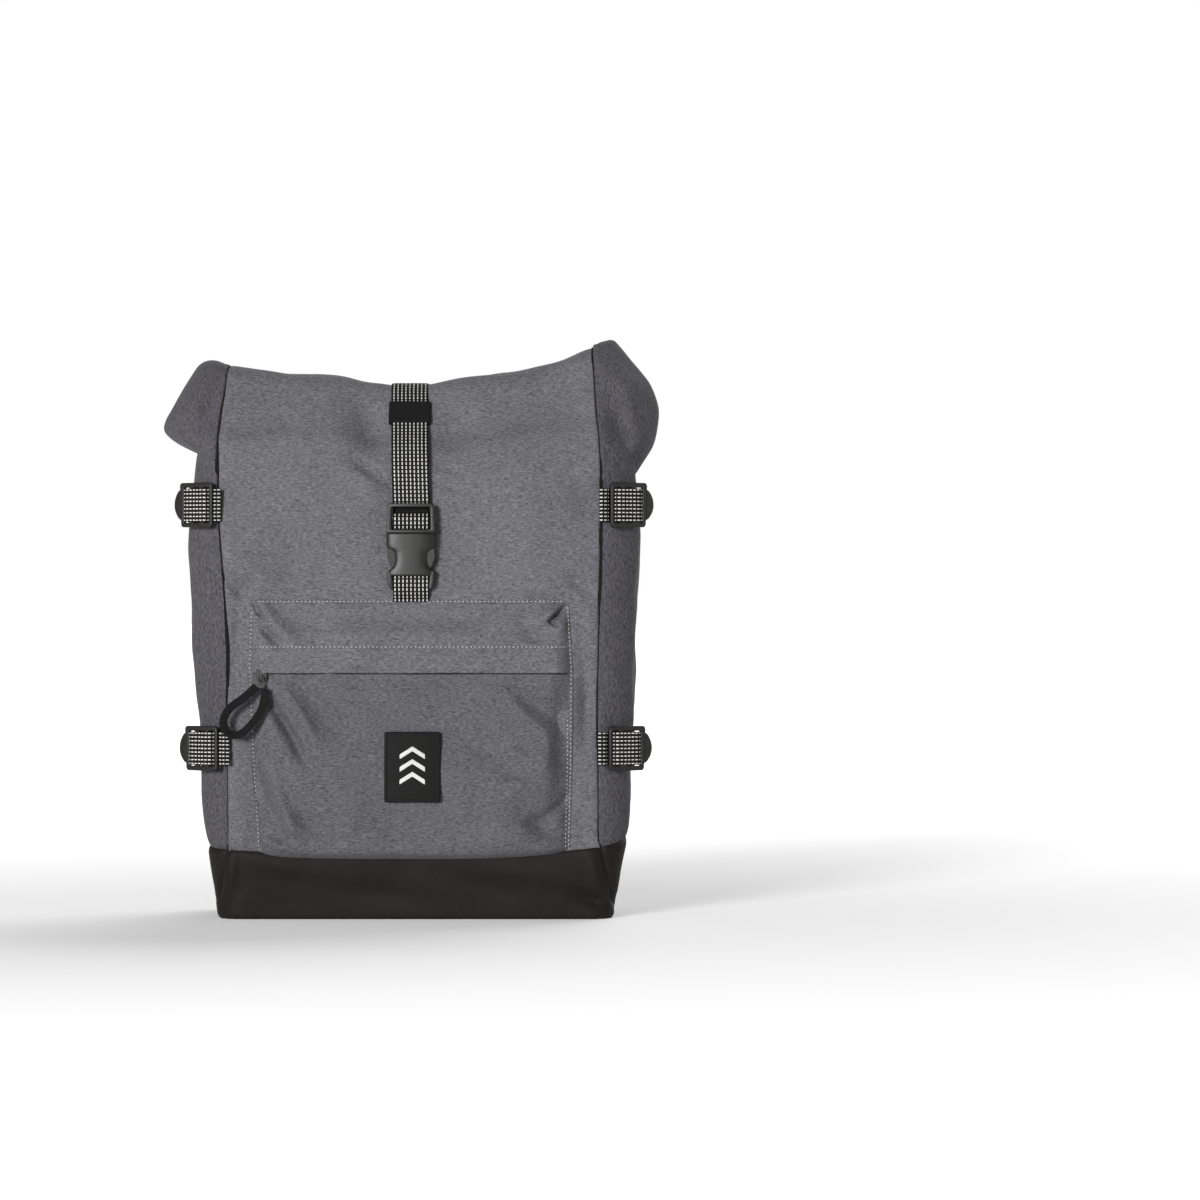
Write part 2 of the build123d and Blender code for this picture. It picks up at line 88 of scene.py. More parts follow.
# %% [markdown]
# ## Light
# Product light is large and soft. A wide sun stands low in front, a little to the left, so that
# cloth facing away from the front falls off to dark and folds show. A weaker sun behind lights the
# rack hardware. Suns light the floor evenly as far as one can see, which lamps would not. Two
# panels put a soft gleam on the plastics only. The room is white where the camera looks at it, but
# its own light is dimmer than it looks, so that folds keep their shadows.

# %% Light
SUNS = [("front_sun", (-0.40, -1.0, 0.36), 16, 4.7), ("rear_sun", (0.5, 1.0, 0.9), 50, 2.0)]
PANELS = [("gleam_left", (-1.4, -1.6, 0.9), 1.2, 10), ("gleam_right", (1.9, -1.2, 0.6), 1.0, 5)]
AIM = Vector((0, 0, 0.2))
ROOM_LIGHT, ROOM_LOOK = 0.20, 1.0


def lamp(name, kind, place, power):
    light = bpy.data.objects.new(name, bpy.data.lights.new(name, kind))
    light.data.energy = power
    light.location = place
    light.rotation_euler = (AIM - Vector(place)).to_track_quat("-Z", "Y").to_euler()
    bpy.context.scene.collection.objects.link(light)
    return light


def white_room():
    world = bpy.data.worlds.new("studio")
    bpy.context.scene.world = world
    world.use_nodes = True
    nodes, links = world.node_tree.nodes, world.node_tree.links
    lit = nodes["Background"]
    seen, ray, mix = (
        nodes.new("ShaderNode" + kind) for kind in ("Background", "LightPath", "MixShader")
    )
    for background, strength in ((lit, ROOM_LIGHT), (seen, ROOM_LOOK)):
        background.inputs["Color"].default_value = (1, 1, 1, 1)
        background.inputs["Strength"].default_value = strength
    links.new(ray.outputs["Is Camera Ray"], mix.inputs[0])
    links.new(lit.outputs[0], mix.inputs[1])
    links.new(seen.outputs[0], mix.inputs[2])
    links.new(mix.outputs[0], nodes["World Output"].inputs["Surface"])


for name, place, angle, power in SUNS:
    lamp(name, "SUN", place, power).data.angle = math.radians(angle)
for name, place, size, power in PANELS:
    panel = lamp(name, "AREA", place, power)
    panel.data.size = size
    panel.visible_diffuse = False
white_room()
bpy.context.scene.view_settings.view_transform = "Standard"
print(len(SUNS) + len(PANELS), "lights")

# %% [markdown]
# ## Shader maths in Python
# A node tree is easier to read as sums. `Link` wraps one output of a node, and its operators add
# Math nodes. `Finish` is one material: its `node` method adds any other node, with the settings put
# on first and the sockets fed after.


# %% A link between shader nodes
class Link:
    def __init__(self, tree, socket):
        self.tree = tree
        self.socket = socket

    def made(self, operation, *values, clamp=False):
        node = self.tree.nodes.new("ShaderNodeMath")
        node.operation = operation
        node.use_clamp = clamp
        for socket, value in zip(node.inputs, values):
            feed(self.tree, socket, value)
        return Link(self.tree, node.outputs[0])

    def __add__(self, other):
        return self.made("ADD", self, other)

    def __sub__(self, other):
        return self.made("SUBTRACT", self, other)

    def __rsub__(self, other):
        return self.made("SUBTRACT", other, self)

    def __mul__(self, other):
        return self.made("MULTIPLY", self, other)

    def __truediv__(self, other):
        return self.made("DIVIDE", self, other)

    __radd__ = __add__
    __rmul__ = __mul__

    def clamped(self):
        return self.made("ADD", self, 0.0, clamp=True)

    def size(self):
        return self.made("ABSOLUTE", self)

    def fraction(self):
        return self.made("FRACT", self)

    def wave(self):
        return self.made("SINE", self)


def feed(tree, socket, value):
    if isinstance(value, Link):
        tree.links.new(value.socket, socket)
    else:
        socket.default_value = value


print("links do", [name for name in vars(Link) if not name.startswith("__")])


# %% A finish
class Finish:
    def __init__(self, name, constants):
        self.material = bpy.data.materials.new(name)
        self.material.use_nodes = True
        self.tree = self.material.node_tree
        self.shader = self.tree.nodes["Principled BSDF"]
        self.paint(constants)

    def paint(self, sockets):
        for name, value in sockets.items():
            feed(self.tree, self.shader.inputs[name], value)
        return self

    def node(self, kind, sockets=None, output=0, **settings):
        made = self.tree.nodes.new(kind)
        for name, value in settings.items():
            setattr(made, name, value)
        for key, value in (sockets or {}).items():
            feed(self.tree, made.inputs[key], value)
        return Link(self.tree, made.outputs[output])

    def spot(self, scale=(1, 1, 1)):
        """The place on the object, in metres times a scale for each axis."""
        place = self.node("ShaderNodeTexCoord", output="Object")
        return self.node("ShaderNodeVectorMath", {0: place, 1: scale}, operation="MULTIPLY")

    def grain(self, scale, detail=2.0):
        sockets = {"Vector": self.spot(scale), "Scale": 1.0, "Detail": detail}
        return self.node("ShaderNodeTexNoise", sockets)

    def blend(self, share, one, other):
        sockets = {0: share, 6: one, 7: other}
        return self.node("ShaderNodeMix", sockets, output=2, data_type="RGBA")

    def bump(self, height, distance, strength=1.0, normal=None):
        sockets = {"Height": height, "Distance": distance, "Strength": strength}
        if normal is not None:
            sockets["Normal"] = normal
        return self.node("ShaderNodeBump", sockets)

    def ruler(self):
        """Across and along a strap, in metres, from its UV map."""
        place = self.node("ShaderNodeUVMap", uv_map="strap")
        apart = {"Vector": place}
        across = self.node("ShaderNodeSeparateXYZ", apart, output=0)
        along = self.node("ShaderNodeSeparateXYZ", apart, output=1)
        return across, along


def grey(value, blue=1.0, alpha=1.0):
    return (value, value, value * blue, alpha)


print("a finish has", [name for name in vars(Finish) if not name.startswith("__")])

# %% [markdown]
# ## Melange cloth
# The shell is woven from pale and dark yarns, so up close it is a field of short dashes that run
# with the thread. Two stretched noises make them: long thin dashes along the thread and faint short
# ones across it. The front is cut with its thread level, and the gussets with it upright, so the
# axis is a choice.


# %% Melange cloth
def melange(name, upright, dark, pale):
    cloth = Finish(name, {"Roughness": 0.92, "Sheen Weight": 0.05, "Specular IOR Level": 0.15})
    long_way, short_way = (1600, 330) if upright else (330, 1600)
    yarn = cloth.grain((long_way, 500, short_way), detail=2.5)
    cross = cloth.grain((short_way * 2.0, 700, long_way * 0.9), detail=2.0)
    patchy = cloth.grain((9, 9, 9), detail=2.0)
    tone = yarn * 0.62 + cross * 0.32 + patchy * 0.06
    level = ((tone - 0.34) / 0.32).clamped()
    dashes = cloth.grain((long_way * 0.62, 300, short_way * 0.62), detail=1.0)
    flecks = ((dashes - 0.60) * 7.0).clamped() * 0.34
    body = cloth.blend(level, dark, pale)
    colour = cloth.blend(flecks, body, pale)
    cloth.paint({"Base Color": colour, "Normal": cloth.bump(yarn * 0.6 + cross * 0.4, 0.0004, 0.5)})
    return cloth.material


front_cloth = melange("melange_level", False, (0.030, 0.0305, 0.036, 1), (0.141, 0.140, 0.150, 1))
# The pocket bag is the front's cloth; this darker copy of it is painted shade.
shaded_pocket_cloth = melange("melange_pocket_painted_shade", False, (0.024, 0.0245, 0.029, 1), (0.117, 0.116, 0.126, 1))
# The gussets and ears take a darker copy of the front's melange: painted shade for cloth facing
# away from the front light.
shaded_side_cloth = melange("melange_upright_painted_shade", True, (0.014, 0.014, 0.018, 1), (0.088, 0.084, 0.095, 1))
print("cloth", front_cloth.name, shaded_side_cloth.name)

# %% [markdown]
# ## Coated base cloth
# The bottom takes the road dirt, so it is a heavier black cloth with a coating. It is almost black
# with a brown cast, and its weave shows only as a faint tone and a soft sheen.


# %% Coated base cloth
def coated():
    cloth = Finish("coated_black", {"Sheen Weight": 0.01, "Specular IOR Level": 0.12})
    weave = cloth.grain((520, 400, 900), detail=3.0)
    cloudy = cloth.grain((18, 18, 30), detail=4.0)
    level = (weave * 0.5 + cloudy * 0.5).clamped()
    colour = cloth.blend(level, (0.0025, 0.0020, 0.0018, 1), (0.0125, 0.0105, 0.0095, 1))
    rough = 0.56 + cloudy * 0.22
    normal = cloth.bump(weave, 0.0004, 0.5)
    return cloth.paint({"Base Color": colour, "Roughness": rough, "Normal": normal}).material


base_cloth = coated()
print("cloth", base_cloth.name)

# %% [markdown]
# ## Reflective webbing
# The straps are black webbing with nine columns of silver yarn that comes up as short dashes. Each
# strap carries a UV map that is a ruler in metres, so the dashes keep their true pitch round bends.

# %% Reflective webbing
DOT_PITCH = 0.00305
DOT_HALF_WIDTH = 0.00047
DOT_HALF_LENGTH = 0.00100
DOT_EDGE = 0.00022


def fade(distance, half, edge):
    """1 inside half, 0 outside, with a soft edge."""
    return ((half - distance) / edge + 0.5).clamped()


def dotted(name, columns, pitch):
    """Nine columns of dashes. Pitch is the distance between columns."""
    web = Finish(name, {"Specular IOR Level": 0.1})
    across, along = web.ruler()
    across = across * (DOT_PITCH / pitch)
    cell_u = ((across / DOT_PITCH + 0.5).fraction() - 0.5).size() * DOT_PITCH
    row = along / DOT_PITCH
    cell_v = (row.fraction() - 0.5).size() * DOT_PITCH
    in_band = fade(across.size(), DOT_PITCH * columns / 2, DOT_EDGE)
    uneven = web.grain((900, 900, 900), detail=1.0)
    length = DOT_HALF_LENGTH * (0.82 + uneven * 0.36)
    dot = fade(cell_u, DOT_HALF_WIDTH, DOT_EDGE) * fade(cell_v, length, DOT_EDGE) * in_band
    thread = web.grain((1500, 1500, 1500), detail=2.0)
    black = web.blend(thread, grey(0.002), grey(0.009))
    silver = web.blend(uneven, (0.34, 0.33, 0.31, 1), (0.62, 0.61, 0.57, 1))
    rib = (across * (2 * math.pi / DOT_PITCH)).wave() * 0.5
    height = dot * 0.7 + rib * 0.25 + thread * 0.25
    rough = 0.78 - dot * 0.25
    web.paint({"Base Color": web.blend(dot, black, silver), "Roughness": rough})
    return web.paint({"Normal": web.bump(height, 0.0005, 0.8)}).material


def plain_web():
    web = Finish("black_elastic", {"Roughness": 0.85, "Specular IOR Level": 0.1})
    across, along = web.ruler()
    rows = (along * (2 * math.pi / 0.0011)).wave()
    thread = web.grain((1400, 1400, 1400), detail=2.0)
    colour = web.blend(thread, grey(0.002), grey(0.011))
    normal = web.bump(rows * 0.5 + thread * 0.6, 0.0004, 0.7)
    return web.paint({"Base Color": colour, "Normal": normal}).material


dotted_web = dotted("reflective_webbing", 9, 0.00299)
side_dotted_web = dotted("reflective_side_webbing", 9, 0.00284)
elastic = plain_web()
print("dots of", 2 * DOT_HALF_LENGTH, "m every", DOT_PITCH)

# %% [markdown]
# ## Plastics, rubber, metal and thread
# Moulded parts share one recipe: a base tone, a fine spark-eroded bump and a rounded look on their
# edges from the Bevel node, since the mould leaves no sharp edge.


# %% Moulded and metal finishes
def moulded(name, colour, rough, pebble, metallic=0.0, radius=0.0005, gloss=0.25):
    part = Finish(name, {"Metallic": metallic, "IOR": 1.49, "Specular IOR Level": gloss})
    fine = part.grain((pebble, pebble, pebble), detail=2.0)
    smudge = part.grain((60, 60, 60), detail=3.0)
    worn, clean = (tuple(c * k for c in colour) + (1,) for k in (0.8, 1.3))
    shade = part.blend(smudge, worn, clean)
    soft_edge = part.node("ShaderNodeBevel", {"Radius": radius}, samples=4)
    normal = part.bump(fine, 0.00012, 0.35, soft_edge)
    roughness = rough + smudge * 0.12
    return part.paint({"Base Color": shade, "Roughness": roughness, "Normal": normal}).material


satin = moulded("satin_black_acetal", (0.008, 0.0075, 0.007), 0.33, 2600)
nylon = moulded("textured_nylon", (0.010, 0.010, 0.0105), 0.48, 1500)
grip = moulded("latch_nylon", (0.022, 0.022, 0.023), 0.44, 1500)
rubber = moulded("grey_rubber", (0.028, 0.028, 0.028), 0.68, 1100)
patch_rubber = moulded("patch_rubber", (0.0045, 0.0042, 0.004), 0.6, 1800, gloss=0.1)
patch_mark = moulded("patch_mark", (0.42, 0.42, 0.41), 0.5, 1400)
board = moulded("board_plastic", (0.04, 0.04, 0.041), 0.5, 700)
zinc = moulded("zinc_plated_steel", (0.55, 0.55, 0.56), 0.24, 900, metallic=1.0, radius=0.0002)
coil = moulded("zip_coil", (0.008, 0.008, 0.0085), 0.38, 2600, radius=0.0002)


def thread_finish(name, one, other):
    yarn = Finish(name, {"Roughness": 0.8, "Sheen Weight": 0.2})
    twist = yarn.grain((2600, 2600, 2600), detail=1.0)
    colour = yarn.blend(twist, one, other)
    return yarn.paint({"Base Color": colour, "Normal": yarn.bump(twist, 0.0002, 0.5)}).material


pale_thread = thread_finish("pale_thread", (0.17, 0.17, 0.175, 1), (0.38, 0.38, 0.37, 1))
# Near-black thread, used only as painted shade under the pale stitches.
stitch_groove_shade = thread_finish("stitch_groove_shade", grey(0.006), grey(0.022))
print(len(bpy.data.materials), "materials so far")

# %% [markdown]
# ## The floor
# A plain pale floor that glows, dimly near the bag, lighting it from below, and far off as bright
# as the room, so no horizon shows.


# %% Floor
def floor_piece():
    bpy.ops.mesh.primitive_plane_add(size=120, location=(0, 0, -0.0005))
    floor = bpy.context.object
    floor.name = "floor"
    paper = Finish(
        "glowing_floor_paper", {"Roughness": 0.8, "Specular IOR Level": 0.0, "Emission Strength": 1.0}
    )
    distance = paper.node("ShaderNodeVectorMath", {0: paper.spot()}, output=1, operation="LENGTH")
    far = ((distance - 0.35) / 1.7).clamped()
    paper.paint({
        "Base Color": paper.blend(far, grey(0.80), grey(0.60)),
        # The floor's own glow: dim near the bag, where it lights the bag from below, and as bright
        # as the room far off.
        "Emission Color": paper.blend(far, grey(0.24), grey(0.85)),
    })
    floor.data.materials.append(paper.material)


floor_piece()
print("floor laid")

# %% [markdown]
# ## Mesh helpers
# Cloth is made as grids of points in millimetres. `sheet` turns a grid into a mesh, `thick` gives
# it the thickness of cloth, and `sweep` runs a cross-section along a path for straps.


# %% Mesh helpers
def new_piece(name, points, faces, finish):
    mesh = bpy.data.meshes.new(name)
    mesh.from_pydata([tuple(p) for p in np.asarray(points, float) * MM], [], faces)
    mesh.materials.append(finish)
    piece = bpy.data.objects.new(name, mesh)
    bpy.context.scene.collection.objects.link(piece)
    tidy = bmesh.new()
    tidy.from_mesh(mesh)
    bmesh.ops.remove_doubles(tidy, verts=tidy.verts, dist=0.00002)
    bmesh.ops.recalc_face_normals(tidy, faces=tidy.faces)
    tidy.to_mesh(mesh)
    tidy.free()
    mesh.polygons.foreach_set("use_smooth", [True] * len(mesh.polygons))
    return piece


def grid_faces(rows, columns):
    return [
        (r * columns + c, r * columns + c + 1, (r + 1) * columns + c + 1, (r + 1) * columns + c)
        for r in range(rows - 1)
        for c in range(columns - 1)
    ]


def tube_faces(rings, count, first=0, capped=True):
    """Faces of a tube made of rings of points, counted from first, with flat ends."""
    last = first + (rings - 1) * count
    faces = [
        (a + n, a + (n + 1) % count, a + count + (n + 1) % count, a + count + n)
        for a in range(first, last, count)
        for n in range(count)
    ]
    if capped:
        faces += [tuple(range(first, first + count)), tuple(range(last, last + count))[::-1]]
    return faces


def declared(grid):
    """Work out the diagonals of a grid's cells; nothing is done with them."""
    one, two = grid[1:, 1:] - grid[:-1, :-1], grid[1:, :-1] - grid[:-1, 1:]


def sheet(name, grid, finish, outward):
    """A grid of points becomes cloth. Outward is a rough direction that its front faces."""
    rows, columns = grid.shape[:2]
    piece = new_piece(name, grid.reshape(-1, 3), grid_faces(rows, columns), finish)
    facing = sum((p.normal * p.area for p in piece.data.polygons), Vector())
    if facing.dot(Vector(outward)) < 0:
        piece.data.flip_normals()
    declared(grid)
    return piece


def thick(piece, millimetres, levels=1):
    """Thickness grows inward, so the outside stays where the grid put it."""
    solid = piece.modifiers.new("cloth", "SOLIDIFY")
    solid.thickness = millimetres * MM
    solid.offset = -1
    if levels:
        smooth = piece.modifiers.new("smooth", "SUBSURF")
        smooth.levels = smooth.render_levels = levels
    return piece


def on(piece, body, slot, *nodes):
    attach(piece, body)
    if nodes:
        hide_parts(*nodes)
    return piece


def finished(node, finish):
    """A frame node that keeps its shape gets a finish."""
    materials = frame["nodes"][node].data.materials
    materials.clear()
    materials.append(finish)


def distances(path):
    """How far along a path each of its points lies."""
    return np.r_[0, np.cumsum(np.linalg.norm(np.diff(path, axis=0), axis=1))]


def spaced(path, shares):
    """Points of a path at the given shares of its length."""
    run = distances(path)
    return np.stack([np.interp(run[-1] * shares, run, row) for row in path.T], axis=1)


def densely(corners):
    """A polyline with many points on each of its sides."""
    return np.concatenate([np.linspace(a, b, 40) for a, b in zip(corners, corners[1:])])


def arc(cx, cy, radius, turns):
    return [(cx + radius * math.cos(a), cy + radius * math.sin(a)) for a in turns]


def between(t, a, rise_a, b, rise_b):
    """The cubic that leaves a and reaches b with the given slopes, at t from 0 to 1."""
    return (
        (2 * t**3 - 3 * t**2 + 1) * a
        + (t**3 - 2 * t**2 + t) * rise_a
        + (3 * t**2 - 2 * t**3) * b
        + (t**3 - t**2) * rise_b
    )


def eased(points, count):
    """Points of a smooth curve through a short list of points, evenly spaced."""
    points = np.asarray(points, float)
    fine = np.linspace(0, len(points) - 1, 40 * len(points))
    slope = np.gradient(points, axis=0)
    low = np.minimum(fine.astype(int), len(points) - 2)
    t = (fine - low)[:, None]
    curve = between(t, points[low], slope[low], points[low + 1], slope[low + 1])
    return spaced(curve, np.linspace(0, 1, count))


def lookup(where, xs, ys):
    """A smooth curve through (xs, ys), read at where."""
    xs, ys = np.asarray(xs, float), np.asarray(ys, float)
    slope = np.gradient(ys, xs)
    where = np.clip(where, xs[0], xs[-1])
    low = np.clip(np.searchsorted(xs, where) - 1, 0, len(xs) - 2)
    gap = xs[low + 1] - xs[low]
    t = (where - xs[low]) / gap
    return between(t, ys[low], gap * slope[low], ys[low + 1], gap * slope[low + 1])


def sweep(name, path, width, depth, side, finish):
    """A flat strap along a path, with a ruler UV map. Side is the strap's width direction."""
    path, side = np.asarray(path, float), np.asarray(side, float)
    if side.ndim == 1:
        side = np.tile(side, (len(path), 1))
    tangent = np.gradient(path, axis=0)
    out = np.cross(tangent, side)
    out /= np.linalg.norm(out, axis=1)[:, None]
    across = np.linspace(-width / 2, width / 2, 19)
    round_off = np.clip((width / 2 - np.abs(across)) / 0.9, 0, 1) ** 0.5
    top = np.stack([across, depth / 2 * (0.35 + 0.65 * round_off)], axis=1)
    section = np.concatenate([top, top[::-1] * [1, -1]])
    count = len(section)
    wide, deep = section[None, :, :1], section[None, :, 1:]
    points = path[:, None] + wide * side[:, None] + deep * out[:, None]
    mesh = bpy.data.meshes.new(name)
    mesh.from_pydata(
        [tuple(p) for p in points.reshape(-1, 3) * MM], [], tube_faces(len(path), count)
    )
    length = distances(path)
    ruler = mesh.uv_layers.new(name="strap")
    for loop in mesh.loops:
        row, place = divmod(loop.vertex_index, count)
        ruler.data[loop.index].uv = (section[place, 0] * MM, length[row] * MM)
    mesh.materials.append(finish)
    mesh.polygons.foreach_set("use_smooth", [True] * len(mesh.polygons))
    piece = bpy.data.objects.new(name, mesh)
    bpy.context.scene.collection.objects.link(piece)
    return piece


STITCH_SIDES = 6


def stitches(name, path, out, finish, pitch=4.1, length=3.0, radius=0.42):
    """A row of thread stitches along a path of points, each a small rounded capsule."""
    path = np.asarray(path, float)
    run = distances(path)
    starts = np.arange(pitch * 0.3, run[-1] - length, pitch)
    out = Vector(out).normalized()
    points, faces = [], []
    shape = [(0.0, 0.35), (0.14, 0.85), (0.5, 1.0), (0.86, 0.85), (1.0, 0.35)]
    for start in starts:
        ends = [
            Vector([np.interp(s, run, path[:, k]) for k in range(3)]) for s in (start,
            start + length)
        ]
        along = (ends[1] - ends[0]).normalized()
        side = along.cross(out)
        first = len(points)
        for share, size in shape:
            centre = ends[0].lerp(ends[1], share) + out * (
                radius * (0.9 * math.sin(math.pi * share) - 0.1)
            )
            for n in range(STITCH_SIDES):
                angle = math.tau * n / STITCH_SIDES
                points.append(
                    centre + (side * math.cos(angle) + out * math.sin(angle)) * radius * size
                )
        faces += tube_faces(len(shape), STITCH_SIDES, first)
    return new_piece(name, points, faces, finish)


print("helpers ready")

# %% [markdown]
# ## Folds
# Used cloth is never flat. Two things give it life: a gentle swell made of noise, and single folds
# that start at a seam, a strap or a pleat. A fold is a line with a width and a height, and it fades
# towards its ends.


# %% Folds
def swell(x, z, size, seed):
    """Smooth noise between about -1 and 1, over arrays of places in millimetres."""
    flat = np.broadcast_arrays(x, z)
    values = [
        noise.noise((a / size, b / size, seed)) for a, b in zip(flat[0].ravel(), flat[1].ravel())
    ]
    return np.array(values).reshape(flat[0].shape)


def fold(x, z, start, end, width, height):
    """How far one fold stands out, in millimetres."""
    ax, az = start
    dx, dz = end[0] - ax, end[1] - az
    long = math.hypot(dx, dz)
    along = ((x - ax) * dx + (z - az) * dz) / long
    off = ((x - ax) * dz - (z - az) * dx) / long
    share = np.clip(along / long, 0, 1)
    beyond = along - share * long
    taper = np.sin(math.pi * (0.12 + 0.76 * share))
    return height * taper * np.exp(-(off**2 + beyond**2) / width**2)


def folds(x, z, rows):
    return sum(fold(x, z, *row) for row in rows)


print("one fold at its middle", round(float(fold(5.0, 0.0, (0, 0), (10, 0), 4, 1)), 2))

# %% [markdown]
# ## The shape of the bag
# Every piece of cloth reads its place from the same few curves: the outside of the body at each
# height, the line of the crest, and the path that the front cloth takes over the roll. The body's
# numbers are the ones that the frame's solids have.

# %% The shape of the bag
HANDS = (("left", -1), ("right", 1))
CLOTH_FOOT = 45  # the cloth starts here, hidden behind the tub
ROLL_Z = 400.0  # the roll reads the seams at this height
WALL = 0.4  # the cloth's outside lies this far out of the frame's panel
HEIGHTS = [0, 56, 77, 130, 228, 312, 338, 361, 376, 384]
LEFT_HALVES = [146.3, 154.8, 157.6, 161.8, 166, 169, 166, 161, 150, 139]
RIGHT_HALVES = [150.5, 160.9, 163.2, 165.7, 168.6, 171.4, 168.6, 164, 152, 140]
FRONTS = [-66, -76, -77.5, -81, -83, -82, -80, -70, -55, -45.9]
BACKS = [76, 80, 80, 80, 80, 80, 78, 60, 34, 24]
CORNERS = [18, 28, 30, 32, 35, 35, 34, 30, 24, 20]

# the seams between the front and the gussets: height, and distance from the middle
SEAM_Z = [50, 128, 228, 273, 323, 361, 385, 404, 425]
LEFT_SEAM = [138.2, 138.6, 139.4, 142.4, 146.2, 146.8, 145, 142.5, 141]
RIGHT_SEAM = [141.5, 140.2, 141, 142, 142.8, 141.2, 139, 137.8, 136.5]

# x and z of the crest line, then y and rise of the cloth's path over the crest
CREST_X = [-190, -160, -142, -117, -94, -71, -49, -26, 0, 20, 43, 66, 88, 111, 134, 150, 190]
CREST_Z = [
    425, 422, 419.6, 417.6, 415, 411.7, 408, 406.4, 405.2, 406.6, 409.6, 414.4, 420.6, 427, 434.5,
    438, 439,
]
OVER = [
    (-81.3, 0.0), (-73.2, 0.284), (-63.2, 0.448), (-52, 0.681), (-40.8, 0.905), (-27.5, 0.99),
    (-14, 1.0), (-3, 0.98), (9, 0.90), (16.5, 0.76), (19, 0.60), (14, 0.44), (3, 0.35), (-12, 0.32),
]
SHOULDER = 338.0


def half_at(side, z):
    """Half width of the body on the side whose sign is given."""
    left, right = lookup(z, HEIGHTS, LEFT_HALVES), lookup(z, HEIGHTS, RIGHT_HALVES)
    return np.where(side < 0, left, right)


def body_at(z, side=1):
    return [half_at(side, z), *(lookup(z, HEIGHTS, row) for row in (FRONTS, BACKS, CORNERS))]


def seam_x(side, z):
    """Distance of a front seam from the middle, on the side whose sign is given."""
    return np.where(side < 0, lookup(z, SEAM_Z, LEFT_SEAM), lookup(z, SEAM_Z, RIGHT_SEAM))


def rim_z(x, y):
    """Height of the seam between body and tub at a place on the outline."""
    side = np.clip((np.abs(x) - 100) / 60, 0, 1)
    lean = np.clip(x / 160, -1, 1)
    away = np.clip((y + 76) / 60, 0, 1)
    return 49.5 + side * (4.6 + 1.6 * lean) + away * (6.0 + 3.6 * lean)


def front_y(x, z):
    """The body's front, bellied a little between its seams."""
    half, front, _, corner = body_at(z, x)
    edge = np.clip(np.abs(x) - (half - corner), 0, corner * 0.98)
    belly = 2.2 * (1 - (np.abs(x) / 175) ** 2.4) * np.sin(math.pi * np.clip((z - 40) / 330, 0, 1))
    return front + corner - np.sqrt(corner**2 - edge**2) - belly - WALL


def crest_z(x):
    return lookup(x, CREST_X, CREST_Z)


def over_path(x, count):
    """Points (x, y, z) from the shoulder over the crest and round the back of the roll."""
    path = eased(OVER, count)
    top = float(crest_z(np.array(x)))
    shift = float(front_y(np.array(float(x)), np.array(SHOULDER))) - OVER[0][0]
    share = np.clip(1 - path[:, 1] * 1.6, 0, 1)
    return np.stack(
        [np.full(count, x), path[:, 0] + shift * share, SHOULDER + path[:, 1] * (top - SHOULDER)],
        axis=1
    )


print("seams about", LEFT_SEAM[2], "and", RIGHT_SEAM[2], "crest", min(CREST_Z), "to", max(CREST_Z))

# %% [markdown]
# ## Front panel
# The front is one length of cloth that runs up from the base seam, leans back above the shoulder
# and goes over the crest and round the roll. Making it as one grid keeps its thread level all the
# way.

# %% Front panel
FRONT_FOLDS = [  # start, end, width, height
    ((-46, 349), (-16, 326), 3.2, -3.8), ((-50, 342), (-20, 320), 8, 3.5),
    ((-34, 388), (-26, 356), 13, -7.2), ((-64, 392), (-54, 352), 16, 4.8),
    ((34, 388), (28, 352), 12, -4.8), ((18, 344), (40, 336), 3, -2.9),
    ((17, 330), (46, 322), 4, -2.6), ((-20, 300), (-60, 276), 9, -2.6),
    ((22, 292), (64, 262), 9, -2.9), ((-143, 262), (-120, 238), 4, -5.4),
    ((-136, 272), (-100, 250), 12, 4.8), ((-132, 246), (-112, 262), 6, -2.9),
    ((-128, 236), (-134, 150), 5, -3.5), ((118, 262), (140, 240), 6, -4.2),
    ((92, 250), (136, 276), 11, 3.5), ((126, 236), (132, 140), 5, -3.5),
    ((-140, 330), (-96, 352), 15, -3.2), ((-100, 300), (-70, 360), 26, 5.1),
    ((70, 290), (96, 370), 28, 4.2), ((110, 400), (60, 372), 16, -3.8),
    ((124, 330), (140, 300), 9, -3.5), ((-8, 240), (4, 262), 16, -3.8),
]


EDGE_SHARES = [0.0, 0.0018, 0.0055, 0.011]  # the last columns before a seam


def pocket_sides(z):
    """Left and right stitch lines of the pocket at a height."""
    heights = (50, 116, 190, 239)
    return np.interp(
        z, heights, (-116, -119.8, -122.8, -121)
    ), np.interp(z, heights, (119.3, 121, 121.4, 118.6))


def to_seams(count):
    """Places from -1 to 1 across a panel, closer together at its seams."""
    ends = np.array(EDGE_SHARES)
    return np.concatenate([ends - 1, np.linspace(-0.98, 0.98, count), 1 - ends[::-1]])


def turned_in(distance, depth=2.2):
    """Cloth turns in where it meets a seam. Distance is from the seam, in millimetres."""
    return -0.5 * np.exp(-((distance / 3.2) ** 2)) - depth * np.exp(-((distance / 0.55) ** 2))


